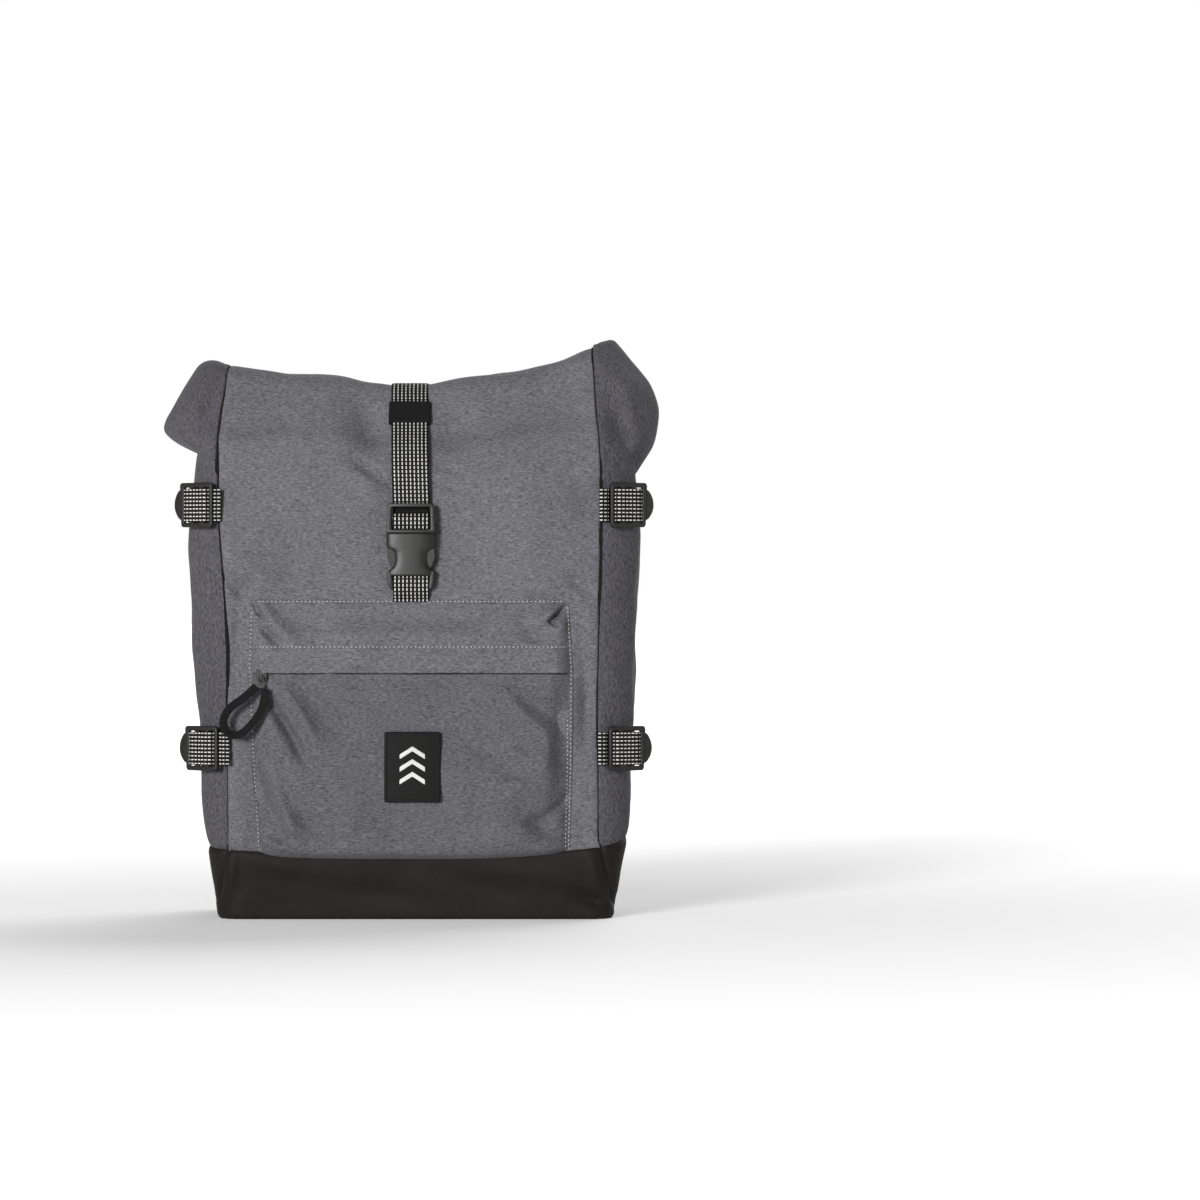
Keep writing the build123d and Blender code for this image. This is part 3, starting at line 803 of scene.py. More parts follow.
def front_grid():
    across = to_seams(111)
    zs = np.linspace(CLOTH_FOOT, SHOULDER, 106)[:-1]
    share, z = np.meshgrid(across, zs)
    x = share * seam_x(share, z)
    low = np.stack([x, front_y(x, z), z], axis=2)
    high = np.stack([over_path(v * float(seam_x(v, ROLL_Z)), 70) for v in across], axis=1)
    high[..., 0] = across[None, :] * seam_x(across[None, :], high[..., 2])
    grid = np.concatenate([low, high])
    tangent = np.gradient(grid, axis=0)
    out = np.stack([np.zeros_like(tangent[..., 1]), -tangent[..., 2], tangent[..., 1]], axis=2)
    out /= np.linalg.norm(out, axis=2)[..., None]
    steps = np.linalg.norm(np.diff(grid, axis=0, prepend=grid[:1]), axis=2)
    run = np.cumsum(steps, axis=0) + CLOTH_FOOT
    x, height = grid[..., 0], grid[..., 2]
    front_side = np.clip((-10 - grid[..., 1]) / 12, 0, 1)
    rise = swell(x, run, 62, 1.3) * 6.0 + swell(x, run, 24, 4.1) * 1.5
    rise = rise + folds(x, height, FRONT_FOLDS) * front_side
    pinned = np.exp(-((x / 20) ** 2)) * np.clip((height - 236) / 10, 0, 1)
    rise = np.where(rise > 0, rise * (1 - pinned), rise) - pinned * 0.6
    left, right = pocket_sides(height)
    inside = np.minimum(np.minimum(x - left, right - x), 239.5 - run)
    rise = rise * np.clip(-inside / 9, 0, 1) - 1.2 * np.clip(inside / 3 - 0.2, 0, 1)
    rise = rise + turned_in((1 - np.abs(across))[None, :] * 141)
    rim = rim_z(x, np.full_like(x, -76.0))
    rise = rise * np.clip((run - rim) / 10, 0, 1) - 3.0 * np.clip((rim + 3 - run) / 6, 0, 1)
    return grid + out * rise[..., None]


front_piece = thick(sheet("front_panel_cloth", front_grid(), front_cloth, (0, -1, 0)), 1.2)
on(front_piece, "bag", "shell_fabric", "front_panel", "roll_top")
print("front panel", len(front_piece.data.vertices), "points")

# %% [markdown]
# ## Gussets
# Each side is one gusset from the front seam round to the back seam. Its outline at every height is
# the body's rounded rectangle, cut off at the seams. Towards the top it leans in under the ear of
# the roll, and the compression straps pull it in a little.


# %% Gussets
BACK_SEAM = 141.0


def gusset_outline(sign, z, count):
    """Points from the front seam round to the back seam, closer together at both ends."""
    half, front, back, corner = (float(v) for v in body_at(np.array(z), sign))
    seam = float(seam_x(sign, np.array(z)))
    turn = np.linspace(0, math.pi / 2, 24)
    near = arc(half - corner, front + corner, corner, turn - math.pi / 2)
    far = arc(half - corner, back - corner, corner, turn)
    fine = densely(np.array([(100, front), *near, *far, (100, back)]))
    limit = np.where(fine[:, 1] < 0, seam, BACK_SEAM)
    fine = fine[fine[:, 0] >= np.minimum(limit, half - 1)]
    return spaced(fine, (to_seams(count - 2 * len(EDGE_SHARES)) + 1) / 2)


def gusset_grid(sign):
    seed = 2.0 if sign < 0 else 9.0
    zs, columns = np.linspace(CLOTH_FOOT, 380, 94), 80
    rows = np.stack([gusset_outline(sign, z, columns) for z in zs])
    x, y = rows[..., 0], rows[..., 1]
    z = np.broadcast_to(zs[:, None], x.shape)
    along = np.gradient(rows, axis=1)
    out = np.stack([along[..., 1], -along[..., 0]], axis=2)
    out /= np.linalg.norm(out, axis=2)[..., None]
    share = to_seams(columns - 2 * len(EDGE_SHARES))[None, :]
    rise = swell(y, z, 58, seed) * 2.4 + swell(y, z, 22, seed + 3) * 0.9
    rise = rise + swell(y, z * 0.35, 30, seed + 7) * 0.9 * (1 - np.abs(share) ** 3)
    strapped = sum(np.exp(-(((z - height) / 20) ** 2)) for height in (129, 312))
    rise = np.where(rise > 0, rise * (1 - 0.9 * strapped), rise) - strapped * 0.7 + WALL
    rise = rise + turned_in((1 - np.abs(share)) * 110) - 2.6 * np.clip(
        (rim_z(sign * x, y) + 4 - z) / 6, 0, 1
    )
    rows = rows + out * rise[..., None]
    return np.stack([rows[..., 0], rows[..., 1], z], axis=2)


for hand, sign in HANDS:
    cloth = gusset_grid(sign) * [sign, 1, 1]
    # The gussets take the darker copy of the melange, a painted shade.
    piece = thick(sheet(f"gusset_{hand}", cloth, shaded_side_cloth, (sign, 0, 0)), 1.2)
    on(piece, "bag", "side_fabric", f"side_panel_{hand}")
print("two gussets")

# %% [markdown]
# ## Seam strips of painted shade
# A black strip lies just under the cloth along each front seam, from the base over the roll. It
# closes the seam, and its black shows between the cloths as a thin dark line, a painted seam shade.


# %% Seam strips of painted shade
def seam_path(sign, sink):
    low = np.linspace(46, SHOULDER, 80)[:-1]
    low = np.column_stack([sign * seam_x(sign, low), front_y(sign * seam_x(sign, low), low), low])
    high = over_path(sign * float(seam_x(sign, ROLL_Z)), 90)[:64]
    high[:, 0] = sign * seam_x(sign, high[:, 2])
    path = np.concatenate([low, high])
    tangent = np.gradient(path, axis=0)
    out = np.column_stack([np.zeros(len(path)), -tangent[:, 2], tangent[:, 1]])
    return path - out / np.linalg.norm(out, axis=1)[:, None] * sink


for hand, sign in HANDS:
    # The strip's black is painted shade for the seam's valley.
    tape = sweep(f"seam_shade_strip_{hand}", seam_path(sign, 2.3), 2.6, 0.7, (1, 0, 0), elastic)
    on(tape, "bag", "webbing")
print("two seam tapes")

# %% [markdown]
# ## Back panel
# The back lies flat against its stiff board and leans in over the top to end under the roll.

# %% Back panel
BACK_OVER = [
    (80, 300), (80, 318), (77.5, 338), (69, 350), (58, 359), (44, 366), (30, 371), (18, 372),
    (8, 368),
]


def back_grid():
    low = np.linspace(CLOTH_FOOT, 300, 86)[:-1]
    flat = lookup(low, HEIGHTS, BACKS)
    column = np.concatenate([np.stack([flat, low], axis=1), eased(BACK_OVER, 44)])
    share = to_seams(95)
    x = np.broadcast_to(share[None, :] * BACK_SEAM, (len(column), len(share)))
    y = np.broadcast_to(column[:, :1], x.shape)
    z = np.broadcast_to(column[:, 1:], x.shape)
    corner = np.clip((np.abs(x) - 132) / 35, 0, 1)
    slack = swell(x, z, 55, 21.0) * 0.9 + swell(x, z, 20, 25.0) * 0.3
    free = np.clip((z - 318) / 20, 0, 1)
    rise = np.minimum(slack, 0) * 0.8 + np.maximum(slack, 0) * free * 2.2
    rise = rise + turned_in(
        (1 - np.abs(share))[None, :] * BACK_SEAM
    ) - 35 * (1 - np.sqrt(1 - corner**2))
    rise = rise - 3.0 * np.clip((rim_z(x, np.full_like(x, 80.0)) + 3 - z) / 6, 0, 1)
    return np.stack([x, y - 0.25 + rise, z], axis=2)


back_piece = thick(sheet("back_panel_cloth", back_grid(), front_cloth, (0, 1, 0)), 1.2)
on(back_piece, "bag", "shell_fabric", "back_panel")
print("back panel", len(back_piece.data.vertices), "points")

# %% [markdown]
# ## Ears of the roll
# Where the gussets are folded into the roll, its two ends stick out as soft ears. An ear starts at
# the seam as the closed loop of the roll and runs out to a curved edge. So each ear is drawn as
# that edge, and the cloth is rounded over between the loop and the edge, like the end of a pillow.

# %% Ears of the roll
EAR_EDGE = {
    "left": [
        (-163, 351), (-172.5, 355.5), (-182, 360.5), (-189, 366), (-192, 371), (-190.5, 378),
        (-185, 388), (-177.5, 401.5), (-171, 412), (-165, 420.5), (-158, 424), (-150, 423.5),
        (-141, 419),
    ],
    "right": [
        (164, 332), (169, 337), (173, 343), (178.5, 351.5), (182.3, 358), (185, 367), (187, 382),
        (185.8, 392), (180.5, 405.5), (173.5, 415), (165, 425), (157.5, 434.2), (151, 440),
        (141, 436.6),
    ],
}
EAR_FOLDS = {
    "left": [
        ((-144, 404), (-158, 356), 7, -9.8), ((-152, 412), (-180, 378), 11, 6.0),
        ((-156, 374), (-186, 368), 6, -3.9), ((-160, 396), (-172, 362), 6, 2.7),
    ],
    "right": [
        ((148, 388), (160, 358), 9, -15.0), ((146, 414), (174, 392), 11, 6.8),
        ((163, 350), (180, 370), 6, 4.8), ((143, 352), (168, 340), 6, -4.5),
        ((152, 430), (178, 404), 5, -3.0), ((168, 396), (182, 366), 5, -3.6),
    ],
}


def ear_half(hand, sign, back):
    """One face of an ear: rows run from the seam to the edge, columns from bottom to top."""
    columns, rows = 54, 34
    loop = over_path(sign * float(seam_x(sign, ROLL_Z)), 240)
    loop[:, 0] = sign * seam_x(sign, loop[:, 2])
    top = int(np.argmax(loop[:, 2]))
    part = loop[top:][::-1] if back else loop[: top + 1]
    part = part if back else part[part[:, 2] > 346]
    start = eased(part[:: max(1, len(part) // 12)], columns)
    start[-1] = loop[top]
    edge = eased(EAR_EDGE[hand], columns)
    edge = np.stack([edge[:, 0], np.full(columns, -13.0), edge[:, 1]], axis=1)
    share = np.r_[0, 0.004, 0.012, np.linspace(0.03, 1, rows - 3)][:, None]
    bend = np.sin(share * math.pi / 2)
    x = start[None, :, 0] + (edge[None, :, 0] - start[None, :, 0]) * bend
    z = start[None, :, 2] + (edge[None, :, 2] - start[None, :, 2]) * bend**1.15
    y = edge[None, :, 1] + (start[None, :, 1] - edge[None, :, 1]) * np.cos(share * math.pi / 2)
    rise = folds(x, z, EAR_FOLDS[hand]) if not back else 0
    rise = (
        rise + swell(x, z, 26, 31.0 + sign) * 1.4
    ) * np.sin(math.pi * np.clip(share * 0.94, 0, 1))
    rise = rise + turned_in(np.abs(x - start[None, :, 0]))
    return np.stack([x, y + rise * (1 if back else -1), z], axis=2)


for hand, sign in HANDS:
    front_face, back_face = ear_half(hand, sign, False), ear_half(hand, sign, True)
    # The ears take the darker copy of the melange too, a painted shade.
    ear = sheet(
        f"ear_{hand}", np.concatenate([front_face, back_face[::-1]]), shaded_side_cloth, (sign, -1, 0)
    )
    on(thick(ear, 1.0), "bag", "side_fabric")
print("two ears")

# %% [markdown]
# ## Base tub
# The bottom of the bag is a tub of heavier cloth, sewn to the body. Its rim is not level: it hangs
# a little lower in the middle of the front and rises round the sides. The gusset seams go on down
# the tub and meet its lower corners.

# %% Base tub
def tub_side(sign, z):
    """Half of the tub's outline, from the middle of the front round to the middle of the back."""
    half, front, back, corner = (float(v) for v in body_at(np.array(z), sign))
    turn = np.linspace(0, math.pi / 2, 24)
    near = arc(half - corner, front + corner, corner, turn - math.pi / 2)
    far = arc(half - corner, back - corner, corner, turn)
    return np.array([*near, *far]) * [sign, 1]


def tub_outline(z, count):
    front, back = (float(lookup(np.array(z), HEIGHTS, row)) for row in (FRONTS, BACKS))
    right, left = tub_side(1, z), tub_side(-1, z)[::-1]
    ring = np.concatenate([[(0, front)], right, [(0, back)], left, [(0, front)]])
    return spaced(densely(ring), np.linspace(0, 1, count))


TUB_FOLDS = [  # the two corner seams are the narrow ones
    ((-137, 58), (-140.6, 41), 1.7, -3.0), ((-140.6, 41), (-146.5, 14), 1.7, -3.0),
    ((141, 60), (148.5, 29), 1.7, -3.0), ((148.5, 29), (152.5, 8), 1.7, -3.0),
    ((-134, 50), (-138, 20), 4, 3.0), ((134, 48), (142, 20), 4, 3.0),
    ((-120, 44), (-60, 36), 7, 2.7), ((124, 18), (146, 12), 6, -6.0), ((60, 40), (120, 30), 8, 2.7),
    ((-60, 22), (20, 14), 9, -2.1), ((20, 34), (80, 18), 7, -1.8),
]


def tub_grid():
    columns = 641
    shares = np.r_[0.0, 0.012, 0.03, np.linspace(0.06, 1, 30)]
    rims = tub_outline(56, columns)
    rim = rim_z(rims[:, 0], rims[:, 1])
    rows = []
    for share in shares:
        level = tub_outline(50 * share, columns)
        rows.append(np.column_stack([level, rim * share + 0.3]))
    grid = np.stack(rows)
    x, y, z = grid[..., 0], grid[..., 1], grid[..., 2]
    around = np.gradient(grid, axis=1)
    out = np.stack([around[..., 1], -around[..., 0]], axis=2)
    out /= np.maximum(np.linalg.norm(out, axis=2)[..., None], 1e-6)
    rise = swell(x + y * 0.7, z, 38, 41.0) * 1.3 + swell(x + y * 0.7, z, 15, 44.0) * 0.35
    rise = rise * np.clip(z / 14, 0, 1) + WALL * 0.5
    rise = rise + folds(x, z, TUB_FOLDS) * (y < 0)
    rise = rise - 1.4 * np.exp(-(((shares[:, None] - 1) * 50 / 1.6) ** 2))
    rise = rise - 2.4 * (1 - np.clip(z / 2.6, 0, 1)) ** 2
    return np.dstack([x + out[..., 0] * rise, y + out[..., 1] * rise, z])


tub = tub_grid()
on(thick(sheet("base_tub", tub, base_cloth, (0, -1, 0)), 1.4), "bag", "coated_base", "base_shell")


def tub_floor():
    ring = tub[0][:-1]
    inner = [ring * [k, k, 1] + [0, 0, 0.1] for k in (0.97, 0.6, 0.2)]
    points = np.concatenate([ring, *inner])
    count, rings = len(ring), 1 + len(inner)
    faces = tube_faces(rings, count, capped=False)
    faces.append(tuple(range((rings - 1) * count, rings * count)))
    floor = new_piece("base_floor", points, faces, base_cloth)
    on(floor, "bag", "coated_base")


tub_floor()
print(
    "tub rim from", round(float(tub[-1][:, 2].min()), 1), "to", round(float(tub[-1][:, 2].max()), 1)
)

# %% [markdown]
# ## Front pocket
# The pocket is sewn to the panel at its top and sides and into the base seam. Extra cloth in it
# lets it stand off the bag, so it is deepest in the lower middle. It is drawn as a depth over the
# panel, with the cloth above the zip ending in a flap that hides the zip, and the bag of the pocket
# under it.

# %% Front pocket
POCKET_Z = [40, 46, 52, 62, 80, 110, 139, 160, 174, 181, 188, 203]
POCKET_Y = [-80.5, -88, -94.2, -97.4, -99.4, -99.4, -96.4, -95.8, -94.8, -93.6, -93.2, -93.2]
HEAD_Z = [180, 186, 203, 215, 228, 239, 246]
HEAD_Y = [-96.9, -96.9, -96.6, -94.6, -90.6, -86.9, -85.6]
FLAP_STITCH_Z, FLAP_EDGE_Z, POCKET_TOP_Z = 204.8, 185.8, 239.4
POCKET_FOLDS = [
    ((-109, 170), (-83, 129), 4.2, -9.6), ((-100, 176), (-74, 134), 6.5, 6.7),
    ((-80, 172), (-50, 139), 10, -7.4), ((-62, 176), (-34, 150), 10, 4.2),
    ((-90, 134), (-78, 118), 3.5, -4.2), ((-119, 114), (-97, 64), 6.5, -10.4),
    ((-110, 112), (-86, 62), 7.5, 7.4), ((-88, 84), (-62, 62), 8, -5.4),
    ((-116, 60), (-92, 52), 4, 4.8), ((-98, 62), (-60, 55), 5, -3.8),
    ((58, 176), (92, 140), 10, 4.8), ((80, 172), (112, 148), 8, -7.4),
    ((96, 150), (104, 100), 9, 4.2), ((40, 140), (104, 98), 11, -5.8),
    ((56, 90), (94, 112), 5, 4.2), ((70, 132), (112, 112), 8, 3.8),
    ((86, 78), (105, 63), 7.5, -12.8), ((113, 182), (111, 96), 6, -4.5),
    ((98, 74), (121, 92), 4.5, -5.8), ((74, 96), (98, 100), 7, 4.2), ((64, 66), (86, 56), 6, 3.8),
    ((-30, 70), (40, 62), 16, -4.8), ((-50, 100), (-30, 70), 12, 2.6),
    ((24, 118), (50, 84), 12, 3.2),
]
HEAD_FOLDS = [
    ((117.5, 237), (104.5, 224.5), 1.5, -10.5), ((104.5, 224.5), (109.5, 221), 1.4, -6.8),
    ((112, 238), (97, 226), 4.0, 4.8), ((108, 217), (119, 225), 4.0, 3.9),
    ((-117.6, 237), (-111.5, 227), 1.7, -8.2), ((-112, 238), (-104, 228), 4.0, 3.6),
    ((-116, 224), (-98, 207), 3.4, -6.6), ((-108, 226), (-84, 208), 5.5, 3.9),
    ((-96, 230), (-60, 216), 8, -3.0), ((-50, 226), (60, 228), 5.5, -2.4),
    ((-70, 214), (60, 215), 5, 1.8), ((80, 216), (112, 209), 5, -3.9),
    ((60, 220), (100, 228), 7, 2.4),
]


def raised(x, z, levels, heights, marks, seed):
    """Depth (y) of the pocket's cloth: it leaves its side seams steeply and then flattens."""
    left, right = pocket_sides(z)
    edge = np.minimum(x - left, right - x)
    reach = np.interp(z, (40, 60, 150, 180, 205, 240), (26, 32, 30, 13, 13, 12))
    ease = 1 - (1 - np.clip((edge - 2.2) / reach, 0, 1)) ** 2.4
    base = front_y(x, z) - 0.9
    crown = 1 - 0.10 * (x / 120) ** 2
    level = lookup(z, levels, heights)
    depth = np.minimum(level - base, 0) * crown
    swelling = swell(x, z, 46, seed) * 3.0 + swell(x, z, 19, seed + 5) * 1.0
    marks_here = folds(x, z, marks)
    loose = np.clip(edge / 4, 0, 1)
    return base + depth * ease - (swelling + marks_here) * loose


RIBBON_BACK = -96.3  # the cloth stays behind this where the pull's ribbon passes


def pocket_columns(z, count):
    left, right = pocket_sides(z)
    return np.linspace(0, 1, count)[None, :] * (right - left)[:, None] + left[:, None]


def pocket_bag_grid():
    zs = np.concatenate([[45.2, 45.6, 46.4], np.linspace(47.5, 200, 140)])
    x = pocket_columns(zs, 221)
    z = np.broadcast_to(zs[:, None], x.shape).copy()
    y = raised(x, z, POCKET_Z, POCKET_Y, POCKET_FOLDS, 51.0)
    y = np.maximum(y, np.interp(z, (118, 132, 172, 180), (-103, RIBBON_BACK, RIBBON_BACK, -93.8)))
    tuck = np.clip((50 - z) / 4.8, 0, 1)
    y = y + tuck**2 * 9
    sag = np.clip((np.abs(x - 2) / 118) ** 3, 0, 1) * np.clip((110 - z) / 65, 0, 1)
    z = z + sag * (4.0 + 1.5 * np.sign(x))
    return np.dstack([x, y, z])


def pocket_head_grid():
    zs = np.concatenate(
        [np.linspace(FLAP_EDGE_Z, FLAP_STITCH_Z, 22), np.linspace(205.6, 240.4, 50)]
    )
    x = pocket_columns(zs, 261)
    z = np.broadcast_to(zs[:, None], x.shape).copy()
    y = raised(x, z, HEAD_Z, HEAD_Y, HEAD_FOLDS, 61.0)
    y = y + 0.55 * np.exp(
        -(((z - FLAP_STITCH_Z) / 1.5) ** 2)
    ) + 0.8 * np.exp(-(((z - POCKET_TOP_Z) / 1.6) ** 2))
    z = z + 0.5 * swell(x, z * 0, 60, 3.0) * (z < 204)
    return np.dstack([x, y, z])


def zip_line(z, proud):
    """A level line along the zip, lying a little in front of the cloth behind it."""
    left, right = pocket_sides(z)
    x = np.linspace(left + 4.5, right - 4.5, 120)
    at = np.full_like(x, z)
    y = np.minimum(raised(x, at, POCKET_Z, POCKET_Y, [], 51.0), -86)
    return np.column_stack([x, np.maximum(y, -93.4) - proud, at])


def hidden_zip():
    """The zip lies behind the flap, and only its shadow line and slider show."""
    rows = np.stack([zip_line(z, 0.5) for z in (184.7, 186, 189, 194, 198)])
    tape = sheet("zip_tape_strip", rows, coil, (0, -1, 0))
    on(thick(tape, 0.5), "bag", "zip_tape_cloth", "zip_tape")
    row = zip_line(188.2, 0.9)
    chain = sweep("zip_chain", row, 3.2, 0.8, (0, 0, 1), coil)
    on(chain, "bag", "zip_plastic", "zip_teeth")


hidden_zip()
# The pocket's bag takes the darker copy of the cloth, a painted shade; its head and flap keep the
# front's.
pocket_bag = sheet("pocket_bag", pocket_bag_grid(), shaded_pocket_cloth, (0, -1, 0))
on(thick(pocket_bag, 1.1), "bag", "shell_fabric", "pocket_face")
pocket_head = sheet("pocket_head", pocket_head_grid(), front_cloth, (0, -1, 0))
on(thick(pocket_head, 1.3), "bag", "shell_fabric", "pocket_top", "zip_flap")
print("pocket", len(pocket_bag.data.vertices) + len(pocket_head.data.vertices), "points")

# %% [markdown]
# ## Stitching
# Pale thread holds the pocket. Each row is a real line of small stitches lying on the cloth, so it
# catches light and shows in every view. The rows find the cloth by casting a ray at it.


# %% Stitching
def skin_of(piece):
    graph = bpy.context.evaluated_depsgraph_get()
    return piece.evaluated_get(graph)


def laid_on(pieces, xz, sink=0.15):
    """Points (x, z) moved in from the front until they lie on the nearest of some pieces."""
    skins = [skin_of(piece) for piece in pieces]
    laid = []
    for x, z in xz:
        start = Vector((x * MM, -0.2, z * MM))
        hits = [skin.ray_cast(start, Vector((0, 1, 0))) for skin in skins]
        depths = [place.y for found, place, _, _ in hits if found]
        if depths:
            laid.append((x, min(depths) / MM + sink, z))
    return laid


def line(start, end, count=60):
    return np.linspace(start, end, count)


def pocket_stitches():
    left = [(pocket_sides(z)[0] + 1.3, z) for z in np.linspace(49, 238, 90)]
    right = [(pocket_sides(z)[1] - 1.3, z) for z in np.linspace(52, 236, 90)]
    right_two = [(x - 2.4, z) for x, z in right[:50]]
    rows = {
        "pocket_top_stitches": line((-116, 239.5), (116, 239.5), 90),
        "pocket_left_stitches": left,
        "pocket_right_stitches": right,
        "pocket_right_second_stitches": right_two,
        "flap_stitches": line((-119, 205.4), (118, 205.4), 90),
    }
    for name, row in rows.items():
        path = laid_on([front_piece, pocket_bag, pocket_head], row)
        under = np.array(path) + [0, 0.12, 0]
        # Each pale row gets a longer row of near-black stitches behind it: painted shade for the
        # groove the stitches sink into.
        for suffix, row, thread, length, radius in (
            ("", path, pale_thread, 2.0, 0.40), ("_groove_shade_line", under, stitch_groove_shade, 3.1, 0.34),
        ):
            piece = stitches(
                name + suffix, row, (0, -1, 0), thread, pitch=3.2, length=length, radius=radius
            )
            on(piece, "bag", "shell_fabric")


pocket_stitches()
print("pocket stitched")

# %% [markdown]
# ## Closure strap
# One strap comes over the roll from the back and ends in the buckle. It is swept along the same
# corners that the frame's strap follows, and the cloth under it is already pressed in a little.

# %% Closure strap
WEB = (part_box("closure_strap")[1].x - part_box("closure_strap")[0].x) / MM
STRAP_ROUTE = [
    (81.9, 306), (80.9, 330), (73, 349), (58, 364), (40, 379), (18, 394.2), (-4, 403.9),
    (-17, 405.4), (-29, 404.8), (-41, 399.6), (-53, 385.5), (-64.5, 369.2), (-74.3, 357.4),
    (-81.2, 342), (-84.4, 325), (-85, 317), (-85, 311.4),
]


STRAP_LEAN = 3.0  # the strap's top is pulled a little to the left


def strap_route(count):
    route = eased(STRAP_ROUTE, count)
    lean = -STRAP_LEAN * np.clip((route[:, 1] - 311) / 95, 0, 1)
    return np.column_stack([lean, route])


closure_web = sweep("closure_strap_webbing", strap_route(190), WEB, 1.5, (1, 0, 0), dotted_web)
on(closure_web, "bag", "webbing", "closure_strap")
print("strap", round(WEB, 1), "mm wide")

# %% [markdown]
# ## Elastic keeper
# A short loop of black elastic holds the loose end of the strap flat. It is a strap of its own,
# bent round into a flat loop.


# %% Elastic keeper
def keeper_loop():
    low, high = np.array([-64.5, 369.0]), np.array([-42.0, 399.6])
    along = (high - low) / np.linalg.norm(high - low)
    middle = (low + high) / 2 - along * 3.0
    out = np.array([-along[1], along[0]])
    turns = np.linspace(0, 2 * math.pi, 97)
    flat = np.stack([np.sign(np.cos(turns)) * np.abs(np.cos(turns)) ** 0.22 * (WEB / 2 + 1.5),
                     np.sign(np.sin(turns)) * np.abs(np.sin(turns)) ** 0.6 * 1.65], axis=1)
    path = [(x - 2.2, *(middle + out * (w + 0.35))) for x, w in flat]
    return sweep("elastic_keeper", path, 20.5, 0.9, (0, *along), elastic)


on(keeper_loop(), "keeper", "plain_webbing", "strap_keeper")
print("keeper made")

# %% [markdown]
# ## Moulded plates
# Buckle frames and ladder locks are flat mouldings with rounded edges and holes. A filled 2-D curve
# with a bevel makes exactly that: the outlines are its splines, and the inner ones become holes.


# %% Moulded plates
def rounded(width, height, radius, centre=(0, 0), steps=7):
    """Corner points of a rounded rectangle."""
    points = []
    for n, (sx, sy) in enumerate(((1, 1), (-1, 1), (-1, -1), (1, -1))):
        cx, cy = centre[0] + sx * (width / 2 - radius), centre[1] + sy * (height / 2 - radius)
        points += arc(cx, cy, radius, np.linspace(n * math.pi / 2, (n + 1) * math.pi / 2, steps))
    return points


def smoothed(points, radius, steps=5):
    """A polygon with its corners rounded."""
    points = [Vector(p) for p in points]
    result = []
    for before, at, after in zip(points[-1:] + points[:-1], points, points[1:] + points[:1]):
        reach = min(radius, (before - at).length * 0.45, (after - at).length * 0.45)
        a, b = at + (before - at).normalized() * reach, at + (after - at).normalized() * reach
        for t in np.linspace(0, 1, steps):
            result.append(tuple(a.lerp(at, t).lerp(at.lerp(b, t), t)))
    return result


def moulding(name, outlines, depth, edge, seat, finish):
    """A plate in millimetres. Seat gives its origin, its x direction and its y direction."""
    curve = bpy.data.curves.new(name, "CURVE")
    curve.dimensions = "2D"
    curve.fill_mode = "BOTH"
    curve.extrude = depth / 2 - edge
    curve.bevel_depth = edge
    curve.bevel_resolution = 3
    curve.offset = -edge
    for outline in outlines:
        spline = curve.splines.new("POLY")
        spline.points.add(len(outline) - 1)
        for point, (x, y) in zip(spline.points, outline):
            point.co = (x, y, 0, 1)
        spline.use_cyclic_u = True
    drawn = bpy.data.objects.new(name + "_outline", curve)
    bpy.context.scene.collection.objects.link(drawn)
    graph = bpy.context.evaluated_depsgraph_get()
    mesh = bpy.data.meshes.new_from_object(drawn.evaluated_get(graph))
    points = np.array([v.co for v in mesh.vertices])
    faces = [tuple(p.vertices) for p in mesh.polygons]
    bpy.data.objects.remove(drawn)
    origin, right, up = (np.array(v, float) for v in seat)
    out = np.cross(right, up)
    placed = origin + points[:, :1] * right + points[:, 1:2] * up + points[:, 2:3] * out
    piece = new_piece(name, placed, faces, finish)
    shade(piece)
    return piece


def shade(piece, degrees=35):
    """Smooth across gentle turns and crisp across sharp ones."""
    mesh = piece.data
    mesh.set_sharp_from_angle(angle=math.radians(degrees))


FRONT_SEAT = ((0, -89.4, 0), (1, 0, 0), (0, 0, 1))
print("corner of a plate", [round(v, 1) for v in rounded(10, 6, 1)[0]])

# %% [markdown]
# ## Side-release buckle
# The buckle's body is a crowned shield with a narrow waist, and the prongs' pads show at the waist.
# The shield is a stack of cross-sections, so its front can be domed and its edge soft, and its
# cavity is cut out so that it is open where the other half goes in.

# %% Side-release buckle
SHIELD = [  # height and half width
    (290.8, 18.5), (287, 18.5), (282, 18.4), (279.6, 17.6), (278.4, 14.8), (276.6, 12.9),
    (273, 12.2), (269, 12.3), (266, 13.4), (264, 15.4), (262.2, 17.2), (259.8, 17.5), (258.6, 17.3),
]


def loft(name, rings, finish):
    """Closed rings of points, in order, with flat ends."""
    return new_piece(name, np.concatenate(rings), tube_faces(len(rings), len(rings[0])), finish)


def cut_out(piece, *boxes):
    """Subtract boxes, each (low corner, high corner) in millimetres."""
    for low_corner, high_corner in boxes:
        bpy.ops.mesh.primitive_cube_add(size=1)
        tool = bpy.context.object
        low_corner, high_corner = np.array(low_corner, float), np.array(high_corner, float)
        middle, size = (low_corner + high_corner) / 2 * MM, (high_corner - low_corner) * MM
        for vertex in tool.data.vertices:
            vertex.co = Vector(middle) + Vector(np.array(vertex.co) * size)
        trim = piece.modifiers.new("cut", "BOOLEAN")
        trim.object = tool
        trim.operation = "DIFFERENCE"
        trim.solver = "EXACT"
        fixed = bpy.data.meshes.new_from_object(skin_of(piece))
        piece.modifiers.remove(trim)
        piece.data = fixed
        bpy.data.objects.remove(tool)
    return piece


